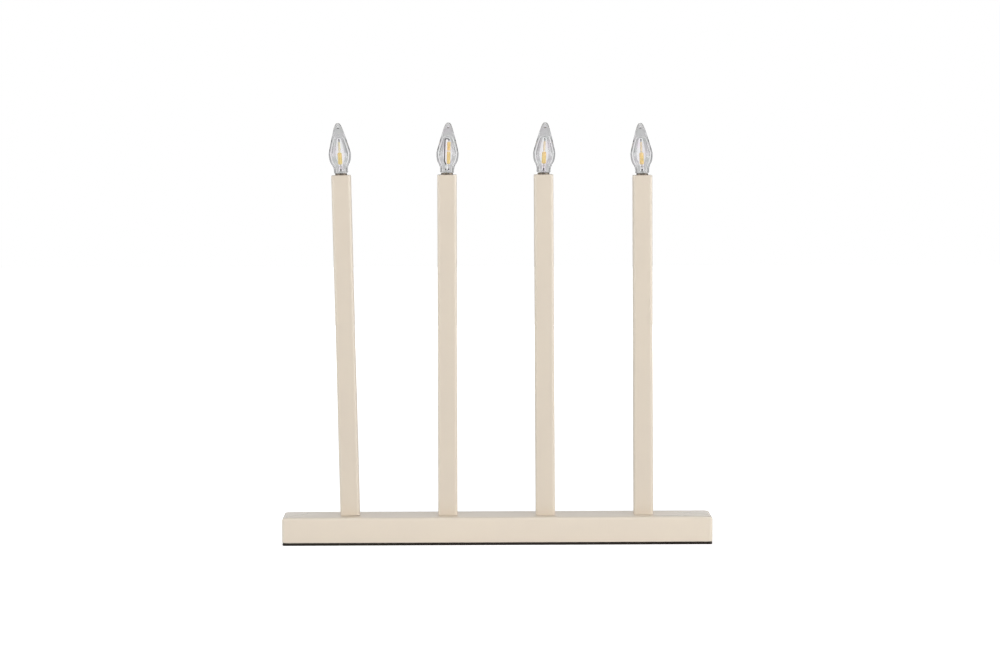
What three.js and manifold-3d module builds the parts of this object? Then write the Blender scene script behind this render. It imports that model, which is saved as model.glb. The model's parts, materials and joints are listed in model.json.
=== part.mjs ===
// Advent candlestick with four electric lamps.
// A wooden bar on a foam pad carries four square wooden posts, and each post holds a screw-in lamp.
// Millimetres, +Z up. X runs along the bar and +Y points to its back, where the cord comes in.
// The origin is the middle of the pad's underside.

import * as THREE from 'three';
import { mergeVertices } from 'three/addons/utils/BufferGeometryUtils.js';
import Module from 'manifold-3d';

const wasm = await Module();
wasm.setup();

// Fits
const fitGap = 0.2; // between fixed pieces that sit in or on each other
const slotGap = 0.25; // beside a thin strip or a wire's end
const threadClearance = 0.15; // radial, between the cap's thread and the sleeve's
const contactGap = 0.2; // between a lamp's contact and the spring under it
const studClearance = 0.1; // radial, between a contact's stud and the insulator's bore

// Bar and pad
const baseLength = 377;
const baseDepth = 45;
const baseHeight = 22; // of the wooden bar alone
const baseCornerRadius = 3;
const baseEdgeRadius = 2.5;
const padThickness = 2.4;
const padInset = 0.2;

// Posts
const candleCount = 4;
const postSpacing = 86.3;
const socketDrift = [0.05, -0.3, -0.8, -0.7]; // how far each socket was drilled from its even place, along X
const socketLean = [-1.19, 0.07, -0.2, -0.19]; // degrees from upright in each socket, positive to +X
const leanClearance = 0.1; // under the lowest edge of a leaning post
const postSide = 16.9;
const postHeight = 299.1;
const postTrim = [0.3, 0, 0, 0.9]; // how much shorter each post was cut
const postCornerRadius = 2.5;
const postEdgeRadius = 0.6;
const wireBore = 7;
const tenonDiameter = 12;
const tenonLength = 11.5;

// Wiring channel under the bar, with a pocket where the cord comes in
const channelDepth = 10;
const channelWidth = 14;
const channelEnd = 9; // how far the channel runs past the outer posts' middles
const pocketWidth = 24;
const backWall = 6; // between the pocket and the back of the bar

// Lamp cap
const threadPitch = 1.814;
const threadMajorDiameter = 9.5;
const threadDepth = 0.5;
const capThreadLength = 7;
const capBore = 7.6;
const collarDiameter = 10.4;
const collarHeight = 2;
const collarShow = 1.5; // how far the collar stands over the post
const insulatorHeight = 1.5;
const insulatorDiameter = 7.8;
const insulatorTipDiameter = 5.4;
const insulatorPlugHeight = 1;
const insulatorBore = 1.8;
const contactDiameter = 4.4;
const contactHeight = 0.7;
const contactLand = 1.6; // flat spot in the middle of the contact's dome

// Lamp glass, measured up from the collar's top
const glassHeight = 44;
const glassDiameter = 19.5;
const bellyHeight = 17.5; // where the glass is widest
const neckDiameter = 12.2;
const neckHeight = 1;
const tipRadius = 2.8;
const tipSlope = 32; // degrees from the axis, where the side meets the rounded tip
const neckStiffness = 0.55; // share of the rise over which the neck stays narrow
const bellyFullness = 0.69; // share of the rise over which the belly stays wide
const shoulderFullness = 0.02; // share of the climb over which the belly stays wide
const flankLength = 0.125; // share of the climb that runs straight to the tip
const glassWall = 4.1;
const boreTop = 3.8; // where the spigot's bore starts to widen into the hollow
const tipThickness = 12; // of solid glass over the hollow
const hollowTopRadius = 3;
const spigotDiameter = 6.8;
const spigotLength = 4; // of the neck's narrow end inside the cap
const spigotWall = 0.9;
const glassLean = [-2.5, 1.7, 2.4, -2.2]; // degrees that each glass leans on its cap, positive to +X
const glassTurn = [-100, 0, -95, -93]; // degrees that each glass is turned on its cap

// Inside the glass, measured up from the collar's top
const stemHeight = 7.7;
const stemDiameter = 3.6;
const stemShoulder = 4.5;
const stemFlareDiameter = 4.6;
const stemHollowDiameter = 3.2;
const stemHollowTop = 2.5;
const leadDiameter = 0.8;
const leadHoleDiameter = 1.2;
const leadHoleOffset = 0.95; // of each wire's hole from the stem's axis
const leadOffset = 2.5; // of the support wire from the lamp's axis
const leadTopGap = 2.5; // from the support wire's top to the top of the hollow
const leadFootGap = 0.4; // between the support wire's lower end and the insulator
const filamentOffset = 1;
const filamentFoot = 8.6;
const filamentDrop = 2.5; // of the filament's top below the support wire's top
const filamentWidth = 3.2;
const filamentThickness = 1.2;
const filamentBlockThickness = 3.7; // of the lower half
const filamentPin = 0.9; // how far the pin stands out of the filament's top

// Lampholder
const sleeveWall = 0.4; // outside the thread's deepest groove
const sleeveOverrun = 0.5; // how far the sleeve reaches past the cap's end
const collarRunGap = 0.3; // between the sleeve's top and the collar
const holderWall = 0.9;
const holderTopDrop = 0.3; // of the holder's rim below the post's top
const springChamberDiameter = 9.2;
const springRise = 1.4; // from the partition to the top of the spring
const springThickness = 0.35;
const springWidth = 3;
const springReach = 3; // from the axis to the fold
const springPlateReach = 2; // of the top leaf past the axis
const partitionThickness = 2;
const wireChamberHeight = 9;
const solderTagLength = 3; // of tab and tail below the partition
const tabWidth = 2.4;

// Wires
const wireDiameter = 1.6;
const wireOffset = 1.6; // of each wire from the axis of the post's bore
const wireLevel = 5; // of the wires below the channel's ceiling
const wireLane = 4; // of the outer wires behind the channel's middle
const wireTurn = 3.5; // how far before a corner a wire starts to bend
const wireEndDrop = 0.6; // of a wire's end below the partition
const wireGather = 11; // from the wire's end to where it runs straight down the bore

// Cord inlet
const bushSide = 8.6;
const bushBore = 6.2;
const bushCorner = 1;
const bushFlange = 1.4; // how far the inner flange stands out at each side
const bushFlangeThickness = 1.5;
const crimpLength = 15;
const crimpDiameter = 4.2;
const crimpBore = 2.2;
const crimpMouth = 3; // bore of the flared ends
const crimpMouthDepth = 2;
const crimpPlace = 16; // from the inlet's middle to the near end of each crimp sleeve
const crimpHold = 6; // how far a wire's end reaches into its sleeve

// Roundness
const roundSides = 20;
const glassSides = 24;
const threadSides = 16;
const threadRows = 4; // points of the thread's profile in one pitch
const smallSides = 12;
const wireSides = 8;
const leadSides = 6;
const cornerSteps = 4; // of a quarter turn in an outline
const bendSteps = 3; // of a wire's bend
const bellySteps = 5; // of the glass between neck and belly
const flameSteps = 5; // of the glass between belly and tip
const tipSteps = 3;
const arcSegments = cornerSteps / 2; // three.js gives an arc twice its curveSegments
const barEdgeSteps = 3;
const postEdgeSteps = 1;
const margin = 1; // how far a cutter runs past what it cuts

// Heights in the object's frame
const baseBottom = padThickness;
const baseTop = padThickness + baseHeight;
const channelCeiling = baseBottom + channelDepth;
const wireHeight = channelCeiling - wireLevel;

// Heights in a candle's own frame, whose origin is the middle of the post's top
const collarBottom = collarShow - collarHeight;
const capBottom = collarBottom - capThreadLength;
const insulatorTop = capBottom - fitGap;
const insulatorBottom = insulatorTop - insulatorHeight;
const plugTop = insulatorTop + insulatorPlugHeight;
const contactTop = insulatorBottom - fitGap;
const contactBottom = contactTop - contactHeight;
const sleeveTop = collarBottom - collarRunGap;
const sleeveBottom = capBottom - sleeveOverrun;
const ledgeTop = sleeveBottom - fitGap;
const springTop = contactBottom - contactGap;
const partitionTop = springTop - springRise - fitGap;
const partitionBottom = partitionTop - partitionThickness;
const tagBottom = partitionBottom - solderTagLength;
const holderTop = -holderTopDrop;
const holderBottom = partitionBottom - wireChamberHeight;
const counterboreFloor = holderBottom - fitGap;
const wireEnd = partitionBottom - wireEndDrop;

// Heights in a bulb's own frame, whose origin is the middle of the collar's top
const hollowTop = glassHeight - tipThickness;
const leadTop = hollowTop - leadTopGap;
const filamentTop = leadTop - filamentDrop;
const filamentBlockTop = (filamentFoot + filamentTop) / 2;

// Widths that follow from each other
const grooveRadius = threadMajorDiameter / 2 + threadClearance;
const sleeveDiameter = 2 * (grooveRadius + sleeveWall);
const holderBore = sleeveDiameter + 2 * fitGap;
const holderDiameter = holderBore + 2 * holderWall;
const tailX = -springReach; // right face of the spring's tail
const centreWireX = tailX + slotGap + wireDiameter / 2;
const sideWireX = grooveRadius - slotGap - wireDiameter / 2;

const paintedWood = new THREE.MeshStandardMaterial({ color: 0xe2d6c6, roughness: 0.6, metalness: 0 });
const blackFoam = new THREE.MeshStandardMaterial({ color: 0x26201a, roughness: 0.95, metalness: 0 });
const clearGlass = new THREE.MeshStandardMaterial({
  color: 0xeef2f4,
  roughness: 0.05,
  metalness: 0,
  transparent: true,
  opacity: 0.35,
});
const capMetal = new THREE.MeshStandardMaterial({ color: 0x8c8276, roughness: 0.4, metalness: 1 });
const brass = new THREE.MeshStandardMaterial({ color: 0xc2a35a, roughness: 0.35, metalness: 1 });
const bronze = new THREE.MeshStandardMaterial({ color: 0xb08050, roughness: 0.35, metalness: 1 });
const solder = new THREE.MeshStandardMaterial({ color: 0xb8babd, roughness: 0.35, metalness: 1 });
const leadMetal = new THREE.MeshStandardMaterial({ color: 0x4a4440, roughness: 0.45, metalness: 1 });
const phosphor = new THREE.MeshStandardMaterial({ color: 0xe8c46e, roughness: 0.5, metalness: 0 });
const blackPlastic = new THREE.MeshStandardMaterial({ color: 0x1c1b1a, roughness: 0.5, metalness: 0 });
const wireCover = new THREE.MeshStandardMaterial({ color: 0xd9d4c8, roughness: 0.6, metalness: 0 });
const crimpCover = new THREE.MeshStandardMaterial({ color: 0xb5473a, roughness: 0.5, metalness: 0 });

// Turns a closed three.js geometry into a solid that can be joined and cut.
function solidOf(geometry) {
  const bare = geometry.clone();
  bare.deleteAttribute('normal');
  bare.deleteAttribute('uv');
  const merged = mergeVertices(bare, 1e-4);
  const place = merged.getAttribute('position');
  const corners = [new THREE.Vector3(), new THREE.Vector3(), new THREE.Vector3()];
  const triangles = [];
  let volume = 0;
  for (let i = 0; i < merged.index.count; i += 3) {
    const ids = [merged.index.getX(i), merged.index.getX(i + 1), merged.index.getX(i + 2)];
    if (new Set(ids).size < 3) {
      continue;
    }
    triangles.push(ids);
    ids.forEach((id, k) => corners[k].fromBufferAttribute(place, id));
    volume += corners[0].dot(corners[1].clone().cross(corners[2]));
  }
  if (volume < 0) {
    triangles.forEach((ids) => ids.reverse());
  }
  const mesh = new wasm.Mesh({
    numProp: 3,
    vertProperties: new Float32Array(place.array),
    triVerts: new Uint32Array(triangles.flat()),
  });
  return new wasm.Manifold(mesh);
}

// Turns a solid back into a geometry with crisp edges.
function geometryOf(solid) {
  const mesh = solid.getMesh();
  const shared = new THREE.BufferGeometry();
  shared.setAttribute('position', new THREE.BufferAttribute(mesh.vertProperties, 3));
  shared.setIndex(new THREE.BufferAttribute(mesh.triVerts, 1));
  const geometry = shared.toNonIndexed();
  geometry.computeVertexNormals();
  return geometry;
}

function box(xMin, xMax, yMin, yMax, zMin, zMax) {
  const geometry = new THREE.BoxGeometry(xMax - xMin, yMax - yMin, zMax - zMin);
  geometry.translate((xMin + xMax) / 2, (yMin + yMax) / 2, (zMin + zMax) / 2);
  return solidOf(geometry);
}

function uprightCylinder(diameter, bottom, top, sides = roundSides) {
  const geometry = new THREE.CylinderGeometry(diameter / 2, diameter / 2, top - bottom, sides);
  geometry.rotateX(Math.PI / 2);
  geometry.translate(0, 0, (bottom + top) / 2);
  return solidOf(geometry);
}

// Turns a profile of [radius, height] points about Z.
function turned(profile, sides) {
  const points = profile.map(([radius, height]) => new THREE.Vector2(radius, height));
  const geometry = new THREE.LatheGeometry(points, sides);
  geometry.rotateX(Math.PI / 2);
  return solidOf(geometry);
}

function roundedRectangle(width, depth, radius) {
  const x = width / 2;
  const y = depth / 2;
  const shape = new THREE.Shape();
  shape.moveTo(-x + radius, -y);
  shape.lineTo(x - radius, -y);
  shape.absarc(x - radius, -y + radius, radius, -Math.PI / 2, 0);
  shape.lineTo(x, y - radius);
  shape.absarc(x - radius, y - radius, radius, 0, Math.PI / 2);
  shape.lineTo(-x + radius, y);
  shape.absarc(-x + radius, y - radius, radius, Math.PI / 2, Math.PI);
  shape.lineTo(-x, -y + radius);
  shape.absarc(-x + radius, -y + radius, radius, Math.PI, 1.5 * Math.PI);
  return shape;
}

// An upright prism with a flat foot, whose top edge is rounded.
function easedPrism(shape, bottom, top, edgeRadius, edgeSteps) {
  const geometry = new THREE.ExtrudeGeometry(shape, {
    depth: top - bottom,
    bevelThickness: edgeRadius,
    bevelSize: edgeRadius,
    bevelOffset: -edgeRadius,
    bevelSegments: edgeSteps,
    curveSegments: arcSegments,
  });
  geometry.translate(0, 0, bottom - edgeRadius);
  geometry.computeBoundingBox();
  const { min, max } = geometry.boundingBox;
  const foot = box(
    min.x - margin, max.x + margin,
    min.y - margin, max.y + margin,
    min.z - margin, bottom,
  );
  return solidOf(geometry).subtract(foot);
}

function plate(shape, bottom, top) {
  const geometry = new THREE.ExtrudeGeometry(shape, {
    depth: top - bottom,
    bevelEnabled: false,
    curveSegments: arcSegments,
  });
  geometry.translate(0, 0, bottom);
  return solidOf(geometry);
}

// A plate that stands upright across Y, from an outline drawn in X and Z.
function uprightPlate(shape, front, back) {
  const geometry = new THREE.ExtrudeGeometry(shape, {
    depth: back - front,
    bevelEnabled: false,
    curveSegments: arcSegments,
  });
  geometry.rotateX(Math.PI / 2);
  geometry.translate(0, back, 0);
  return solidOf(geometry);
}

// A route through corner points, with each corner rounded. It is sampled at its own points alone, so a
// straight run costs no extra rings.
class Route extends THREE.Curve {
  constructor(corners, turn) {
    super();
    const last = corners.length - 1;
    this.points = [corners[0]];
    for (let i = 1; i < last; i += 1) {
      const before = corners[i - 1].clone().sub(corners[i]);
      const after = corners[i + 1].clone().sub(corners[i]);
      const start = corners[i].clone().addScaledVector(
        before.clone().normalize(),
        Math.min(turn, before.length() / 2),
      );
      const end = corners[i].clone().addScaledVector(
        after.clone().normalize(),
        Math.min(turn, after.length() / 2),
      );
      const bend = new THREE.QuadraticBezierCurve3(start, corners[i], end);
      this.points.push(...bend.getPoints(bendSteps));
    }
    this.points.push(corners[last]);
    this.points = this.points.filter((point, i, all) => i === 0 || point.distanceTo(all[i - 1]) > 1e-3);
  }

  getPoint(t, target = new THREE.Vector3()) {
    const steps = this.points.length - 1;
    const at = Math.min(Math.max(t, 0), 1) * steps;
    const index = Math.min(Math.floor(at), steps - 1);
    return target.lerpVectors(this.points[index], this.points[index + 1], at - index);
  }

  getUtoTmapping(u) {
    return u;
  }
}

function tube(corners, turn, diameter, sides) {
  const route = new Route(corners, turn);
  const section = new THREE.Shape();
  for (let i = 0; i < sides; i += 1) {
    const angle = (2 * Math.PI * i) / sides;
    section[i === 0 ? 'moveTo' : 'lineTo'](
      (Math.cos(angle) * diameter) / 2,
      (Math.sin(angle) * diameter) / 2,
    );
  }
  const geometry = new THREE.ExtrudeGeometry(section, {
    steps: route.points.length - 1,
    extrudePath: route,
  });
  return solidOf(geometry);
}

// A right-hand threaded rod, longer than the cap at both ends. A clearance makes it fatter by as much on
// the radius, for cutting the female thread. Its points climb along the helix, so the rod turned by one
// step and lifted by a step's share of the pitch is the same rod.
function threadedRod(clearance) {
  const crest = threadMajorDiameter / 2 + clearance;
  const root = crest - threadDepth;
  const profile = [crest, crest, root, root];
  const origin = sleeveBottom - 3 * threadPitch;
  const rows = threadRows * Math.ceil((collarShow - origin) / threadPitch + 2);
  const columnRows = (column) => rows + 1 + (column === 0 ? threadRows : 0);
  const ids = [];
  const places = [];
  for (let column = 0; column < threadSides; column += 1) {
    const angle = (2 * Math.PI * column) / threadSides;
    ids.push([]);
    for (let row = 0; row < columnRows(column); row += 1) {
      const radius = profile[row % threadRows];
      const height = origin + threadPitch * (row / threadRows + column / threadSides);
      ids[column].push(places.length / 3);
      places.push(radius * Math.cos(angle), radius * Math.sin(angle), height);
    }
  }
  const idAt = (column, row) => (column === threadSides ? ids[0][row + threadRows] : ids[column][row]);
  const triangles = [];
  for (let column = 0; column < threadSides; column += 1) {
    for (let row = 0; row < rows; row += 1) {
      const corner = idAt(column, row);
      const right = idAt(column + 1, row);
      const above = idAt(column, row + 1);
      const across = idAt(column + 1, row + 1);
      triangles.push(corner, right, across, corner, across, above);
    }
  }
  const ring = (row) => {
    const around = ids.map((column) => column[row]);
    const seam = [];
    for (let step = threadRows; step > 0; step -= 1) {
      seam.push(ids[0][row + step]);
    }
    return [...around, ...seam];
  };
  const cap = (row, height, flip) => {
    const loop = ring(row);
    const apex = places.length / 3;
    places.push(0, 0, height);
    loop.forEach((id, i) => {
      const next = loop[(i + 1) % loop.length];
      triangles.push(...(flip ? [next, id, apex] : [id, next, apex]));
    });
  };
  cap(0, origin - threadPitch, true);
  cap(rows, origin + threadPitch * (rows / threadRows + 2), false);
  const geometry = new THREE.BufferGeometry();
  geometry.setAttribute('position', new THREE.Float32BufferAttribute(places, 3));
  geometry.setIndex(triangles);
  return solidOf(geometry);
}

function named(name, solid, material) {
  const mesh = new THREE.Mesh(geometryOf(solid), material);
  mesh.name = name;
  return mesh;
}

// Where each candle stands, as a frame whose origin is the middle of the post's top
function candleX(index) {
  const drift = socketDrift[index % socketDrift.length];
  return (index - (candleCount - 1) / 2) * postSpacing + drift;
}

function trimmedHeight(index) {
  return postHeight - postTrim[index % postTrim.length];
}

function candleMatrix(index) {
  const lean = THREE.MathUtils.degToRad(socketLean[index % socketLean.length]);
  const lift = lean === 0 ? 0 : (postSide / 2) * Math.abs(Math.sin(lean)) + leanClearance;
  const foot = new THREE.Matrix4().makeTranslation(candleX(index), 0, baseTop + lift);
  const turn = new THREE.Matrix4().makeRotationY(lean);
  const rise = new THREE.Matrix4().makeTranslation(0, 0, trimmedHeight(index));
  return foot.multiply(turn).multiply(rise);
}

function inObject(index, x, y, z) {
  return new THREE.Vector3(x, y, z).applyMatrix4(candleMatrix(index));
}

// The bar, cut for the posts' tenons and for the wiring
const firstX = candleX(0);
const lastX = candleX(candleCount - 1);
const pocketBack = baseDepth / 2 - backWall;
const bushBottom = baseBottom + fitGap;
const bushMiddle = bushBottom + bushSide / 2;
const grooveTop = bushBottom + bushSide + fitGap;

function baseBlock() {
  const outline = roundedRectangle(baseLength, baseDepth, baseCornerRadius);
  let block = easedPrism(outline, baseBottom, baseTop, baseEdgeRadius, barEdgeSteps);
  const floor = baseBottom - margin;
  const half = channelWidth / 2;
  block = block.subtract(box(firstX - channelEnd, lastX + channelEnd, -half, half, floor, channelCeiling));
  block = block.subtract(
    box(-pocketWidth / 2, pocketWidth / 2, 0, pocketBack, floor, channelCeiling),
  );
  const grooveHalf = bushSide / 2 + fitGap;
  block = block.subtract(
    box(-grooveHalf, grooveHalf, pocketBack - margin, baseDepth / 2 + margin, floor, grooveTop),
  );
  for (let index = 0; index < candleCount; index += 1) {
    const socket = new THREE.CylinderGeometry(
      tenonDiameter / 2 + fitGap,
      tenonDiameter / 2 + fitGap,
      tenonLength + 4 * margin,
      roundSides,
    );
    socket.rotateX(Math.PI / 2);
    socket.translate(0, 0, -trimmedHeight(index) - tenonLength / 2);
    socket.applyMatrix4(candleMatrix(index));
    block = block.subtract(solidOf(socket));
  }
  return block;
}

// The cord inlet's bush, whose flange lies in the pocket against the back wall
function cordBush() {
  const bushFront = pocketBack - fitGap - bushFlangeThickness;
  const body = roundedRectangle(bushSide, bushSide, bushCorner);
  const flange = roundedRectangle(bushSide + 2 * bushFlange, bushSide, bushCorner);
  const bore = new THREE.Shape();
  bore.absarc(0, 0, bushBore / 2, 0, 2 * Math.PI);
  const boreGeometry = new THREE.ExtrudeGeometry(bore, {
    depth: baseDepth,
    bevelEnabled: false,
    curveSegments: smallSides / 2,
  });
  boreGeometry.rotateX(Math.PI / 2);
  boreGeometry.translate(0, baseDepth, 0);
  return uprightPlate(body, bushFront, baseDepth / 2)
    .add(uprightPlate(flange, bushFront, bushFront + bushFlangeThickness))
    .subtract(solidOf(boreGeometry))
    .translate([0, 0, bushMiddle]);
}

// Joins the end of the series wiring to a core of the cord
function crimpSleeve() {
  const outer = crimpDiameter / 2;
  const inner = crimpBore / 2;
  const mouth = crimpMouth / 2;
  const half = crimpLength / 2;
  return turned(
    [[outer, -half], [outer, half], [mouth, half], [inner, half - crimpMouthDepth],
      [inner, -half + crimpMouthDepth], [mouth, -half], [outer, -half]],
    smallSides,
  ).rotate([0, 90, 0]);
}

// Post with its bore, the counterbore for the lampholder and the tenon
function post(index) {
  const outline = roundedRectangle(postSide, postSide, postCornerRadius);
  const shoulder = -trimmedHeight(index);
  const foot = shoulder - tenonLength;
  const shaft = easedPrism(outline, shoulder, 0, postEdgeRadius, postEdgeSteps);
  const tenon = uprightCylinder(tenonDiameter, foot, shoulder + margin);
  const bore = uprightCylinder(wireBore, foot - margin, margin, smallSides);
  const counterbore = uprightCylinder(holderDiameter + 2 * fitGap, counterboreFloor, margin);
  return shaft.add(tenon).subtract(bore).subtract(counterbore);
}

function lampholderBody() {
  const half = springWidth / 2 + slotGap;
  const tabHalf = tabWidth / 2 + slotGap;
  return uprightCylinder(holderDiameter, holderBottom, holderTop)
    .subtract(uprightCylinder(holderBore, ledgeTop, holderTop + margin))
    .subtract(uprightCylinder(springChamberDiameter, partitionTop, ledgeTop + margin))
    .subtract(uprightCylinder(holderBore, holderBottom - margin, partitionBottom))
    .subtract(box(
      tailX - springThickness - slotGap, tailX + slotGap,
      -half, half,
      partitionBottom - margin, partitionTop + margin,
    ))
    .subtract(box(
      grooveRadius - slotGap, holderBore / 2,
      -tabHalf, tabHalf,
      partitionBottom - margin, ledgeTop + margin,
    ));
}

function threadSleeve() {
  const groove = 2 * grooveRadius;
  const tab = uprightCylinder(sleeveDiameter, tagBottom, sleeveBottom + sleeveOverrun)
    .subtract(uprightCylinder(groove, tagBottom - margin, sleeveTop))
    .intersect(box(0, sleeveDiameter, -tabWidth / 2, tabWidth / 2, tagBottom, sleeveTop));
  return uprightCylinder(sleeveDiameter, sleeveBottom, sleeveTop)
    .subtract(threadedRod(threadClearance))
    .add(tab);
}

function contactSpring() {
  const legBottom = partitionTop + fitGap;
  const outline = new THREE.Shape([
    new THREE.Vector2(tailX - springThickness, tagBottom),
    new THREE.Vector2(tailX, tagBottom),
    new THREE.Vector2(tailX, legBottom),
    new THREE.Vector2(springReach, legBottom),
    new THREE.Vector2(springReach, springTop),
    new THREE.Vector2(-springPlateReach, springTop),
    new THREE.Vector2(-springPlateReach, springTop - springThickness),
    new THREE.Vector2(springReach - springThickness, springTop - springThickness),
    new THREE.Vector2(springReach - springThickness, legBottom + springThickness),
    new THREE.Vector2(tailX - springThickness, legBottom + springThickness),
  ]);
  return uprightPlate(outline, -springWidth / 2, springWidth / 2);
}

function bulbCap() {
  const bounds = uprightCylinder(collarDiameter, capBottom, collarBottom + margin);
  return threadedRod(0)
    .intersect(bounds)
    .add(uprightCylinder(collarDiameter, collarBottom, collarShow))
    .subtract(uprightCylinder(capBore, capBottom - margin, collarShow + margin, smallSides));
}

function bulbInsulator() {
  const plug = capBore / 2 - fitGap;
  return turned(
    [[0, insulatorBottom], [insulatorTipDiameter / 2, insulatorBottom],
      [insulatorDiameter / 2, insulatorTop], [plug, insulatorTop],
      [plug, plugTop], [0, plugTop]],
    smallSides,
  ).subtract(uprightCylinder(insulatorBore, insulatorBottom - margin, plugTop + margin, smallSides));
}

function bulbContact() {
  const stud = insulatorBore / 2 - studClearance;
  return turned(
    [[0, contactBottom], [contactLand / 2, contactBottom], [contactDiameter / 2, contactTop],
      [stud, contactTop], [stud, insulatorTop], [0, insulatorTop]],
    smallSides,
  );
}

// Half a flame's outline, from its neck over its belly to its rounded top
function flame(neck, neckLevel, belly, top, round) {
  const slope = THREE.MathUtils.degToRad(tipSlope);
  const roundMiddle = top - round;
  const joinX = round * Math.cos(slope);
  const joinZ = roundMiddle + round * Math.sin(slope);
  const rise = bellyHeight - neckLevel;
  const climb = joinZ - bellyHeight;
  const swell = new THREE.CubicBezierCurve(
    new THREE.Vector2(neck, neckLevel),
    new THREE.Vector2(neck, neckLevel + rise * neckStiffness),
    new THREE.Vector2(belly, bellyHeight - rise * bellyFullness),
    new THREE.Vector2(belly, bellyHeight),
  );
  const taper = new THREE.CubicBezierCurve(
    new THREE.Vector2(belly, bellyHeight),
    new THREE.Vector2(belly, bellyHeight + climb * shoulderFullness),
    new THREE.Vector2(joinX + climb * flankLength * Math.tan(slope), joinZ - climb * flankLength),
    new THREE.Vector2(joinX, joinZ),
  );
  const points = [...swell.getPoints(bellySteps), ...taper.getPoints(flameSteps).slice(1)];
  for (let step = 1; step < tipSteps; step += 1) {
    const angle = slope + ((Math.PI / 2 - slope) * step) / tipSteps;
    points.push(new THREE.Vector2(round * Math.cos(angle), roundMiddle + round * Math.sin(angle)));
  }
  points.push(new THREE.Vector2(0, top));
  return points.map((point) => [point.x, point.y]);
}

// The glass stands this far over the collar, so that it clears it where it leans most
function leanRoom() {
  const most = Math.max(...glassLean.map(Math.abs));
  return fitGap + (collarDiameter / 2) * Math.sin(THREE.MathUtils.degToRad(most));
}

function bulbGlass() {
  const foot = leanRoom();
  const spigot = spigotDiameter / 2;
  const bore = spigot - spigotWall;
  const neck = neckDiameter / 2;
  const belly = glassDiameter / 2;
  const outside = [[spigot, -spigotLength], [spigot, foot], [neck, foot],
    ...flame(neck, neckHeight, belly, glassHeight, tipRadius)];
  const inside = [[bore, -spigotLength],
    ...flame(bore, boreTop, belly - glassWall, hollowTop, hollowTopRadius)];
  return turned([...inside.reverse(), ...outside], glassSides);
}

function bulbStem() {
  const hollow = stemHollowDiameter / 2;
  const flare = stemFlareDiameter / 2;
  const waist = stemDiameter / 2;
  let stem = turned(
    [[0, stemHollowTop], [hollow, stemHollowTop], [hollow, -spigotLength], [flare, -spigotLength],
      [flare, 0], [waist, stemShoulder], [waist, stemHeight], [0, stemHeight]],
    smallSides,
  );
  for (const side of [-1, 1]) {
    const hole = uprightCylinder(leadHoleDiameter, 0, stemHeight + margin, wireSides);
    stem = stem.subtract(hole.translate([side * leadHoleOffset, 0, 0]));
  }
  return stem;
}

function bulbLead() {
  const at = (x, z) => new THREE.Vector3(x, 0, z);
  const pinTop = filamentTop + filamentPin;
  const corners = [
    at(-leadHoleOffset, plugTop - collarShow + leadFootGap),
    at(-leadHoleOffset, stemHeight + leadDiameter),
    at(-leadOffset, stemHeight + leadOffset),
    at(-leadOffset, leadTop),
    at(filamentOffset, leadTop),
    at(filamentOffset, pinTop + fitGap),
  ];
  return tube(corners, 3 * leadDiameter, leadDiameter, leadSides);
}

// A stretch of the filament's coat, oval and with rounded ends
function filamentCoat(top, thickness) {
  const half = filamentWidth / 2;
  const round = filamentWidth / 4;
  return turned(
    [[0, filamentFoot], [round, filamentFoot], [half, filamentFoot + round],
      [half, top - round], [round, top], [0, top]],
    smallSides,
  ).scale([1, thickness / filamentWidth, 1]).translate([filamentOffset, 0, 0]);
}

function bulbFilament() {
  const round = filamentWidth / 4;
  const body = filamentCoat(filamentTop, filamentThickness)
    .add(filamentCoat(filamentBlockTop, filamentBlockThickness));
  const at = (x, z) => new THREE.Vector3(x, 0, z);
  const footRoute = [
    at(leadHoleOffset, stemHollowTop),
    at(leadHoleOffset, stemHeight),
    at(filamentOffset, filamentFoot + round),
  ];
  const pinRoute = [
    at(filamentOffset, filamentTop - round),
    at(filamentOffset, filamentTop + filamentPin),
  ];
  return body
    .add(tube(footRoute, leadDiameter, leadDiameter, leadSides))
    .add(tube(pinRoute, 0, leadDiameter, leadSides));
}

// Wires: each candle's centre contact is fed from the left, and its sleeve feeds the next candle's contact
function postRun(index, endX, boreX) {
  return [
    inObject(index, endX, 0, wireEnd),
    inObject(index, boreX, 0, wireEnd - wireGather),
  ];
}

// Where a wire in a post's bore would meet the wires' level in the channel
function boreFoot(index, boreX) {
  return inObject(index, boreX, 0, -postHeight - (baseTop - wireHeight)).x;
}

function linkWire(index) {
  const down = postRun(index, sideWireX, wireOffset);
  const up = postRun(index + 1, centreWireX, -wireOffset).reverse();
  const corners = [
    ...down,
    new THREE.Vector3(boreFoot(index, wireOffset), 0, wireHeight),
    new THREE.Vector3(boreFoot(index + 1, -wireOffset), 0, wireHeight),
    ...up,
  ];
  return tube(corners, wireTurn, wireDiameter, wireSides);
}

function endWire(index, endX, boreX, side) {
  const leave = inObject(index, boreX, 0, -postHeight - tenonLength);
  const crimpEnd = side * (crimpPlace + crimpLength - crimpHold);
  const corners = [
    ...postRun(index, endX, boreX),
    leave,
    new THREE.Vector3(boreFoot(index, boreX), wireLane, wireHeight),
    new THREE.Vector3(crimpEnd, wireLane, wireHeight),
  ];
  return tube(corners, wireTurn, wireDiameter, wireSides);
}

const candlestick = new THREE.Group();
candlestick.name = 'advent_candlestick';

candlestick.add(named('base_block', baseBlock(), paintedWood));
const padOutline = roundedRectangle(
  baseLength - 2 * padInset,
  baseDepth - 2 * padInset,
  baseCornerRadius - padInset,
);
candlestick.add(named('base_pad', plate(padOutline, 0, padThickness), blackFoam));
candlestick.add(named('cord_bush', cordBush(), blackPlastic));
[-1, 1].forEach((side, i) => {
  const crimp = named(`crimp_sleeve_${i + 1}`, crimpSleeve(), crimpCover);
  crimp.position.set(side * (crimpPlace + crimpLength / 2), wireLane, wireHeight);
  candlestick.add(crimp);
});

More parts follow.
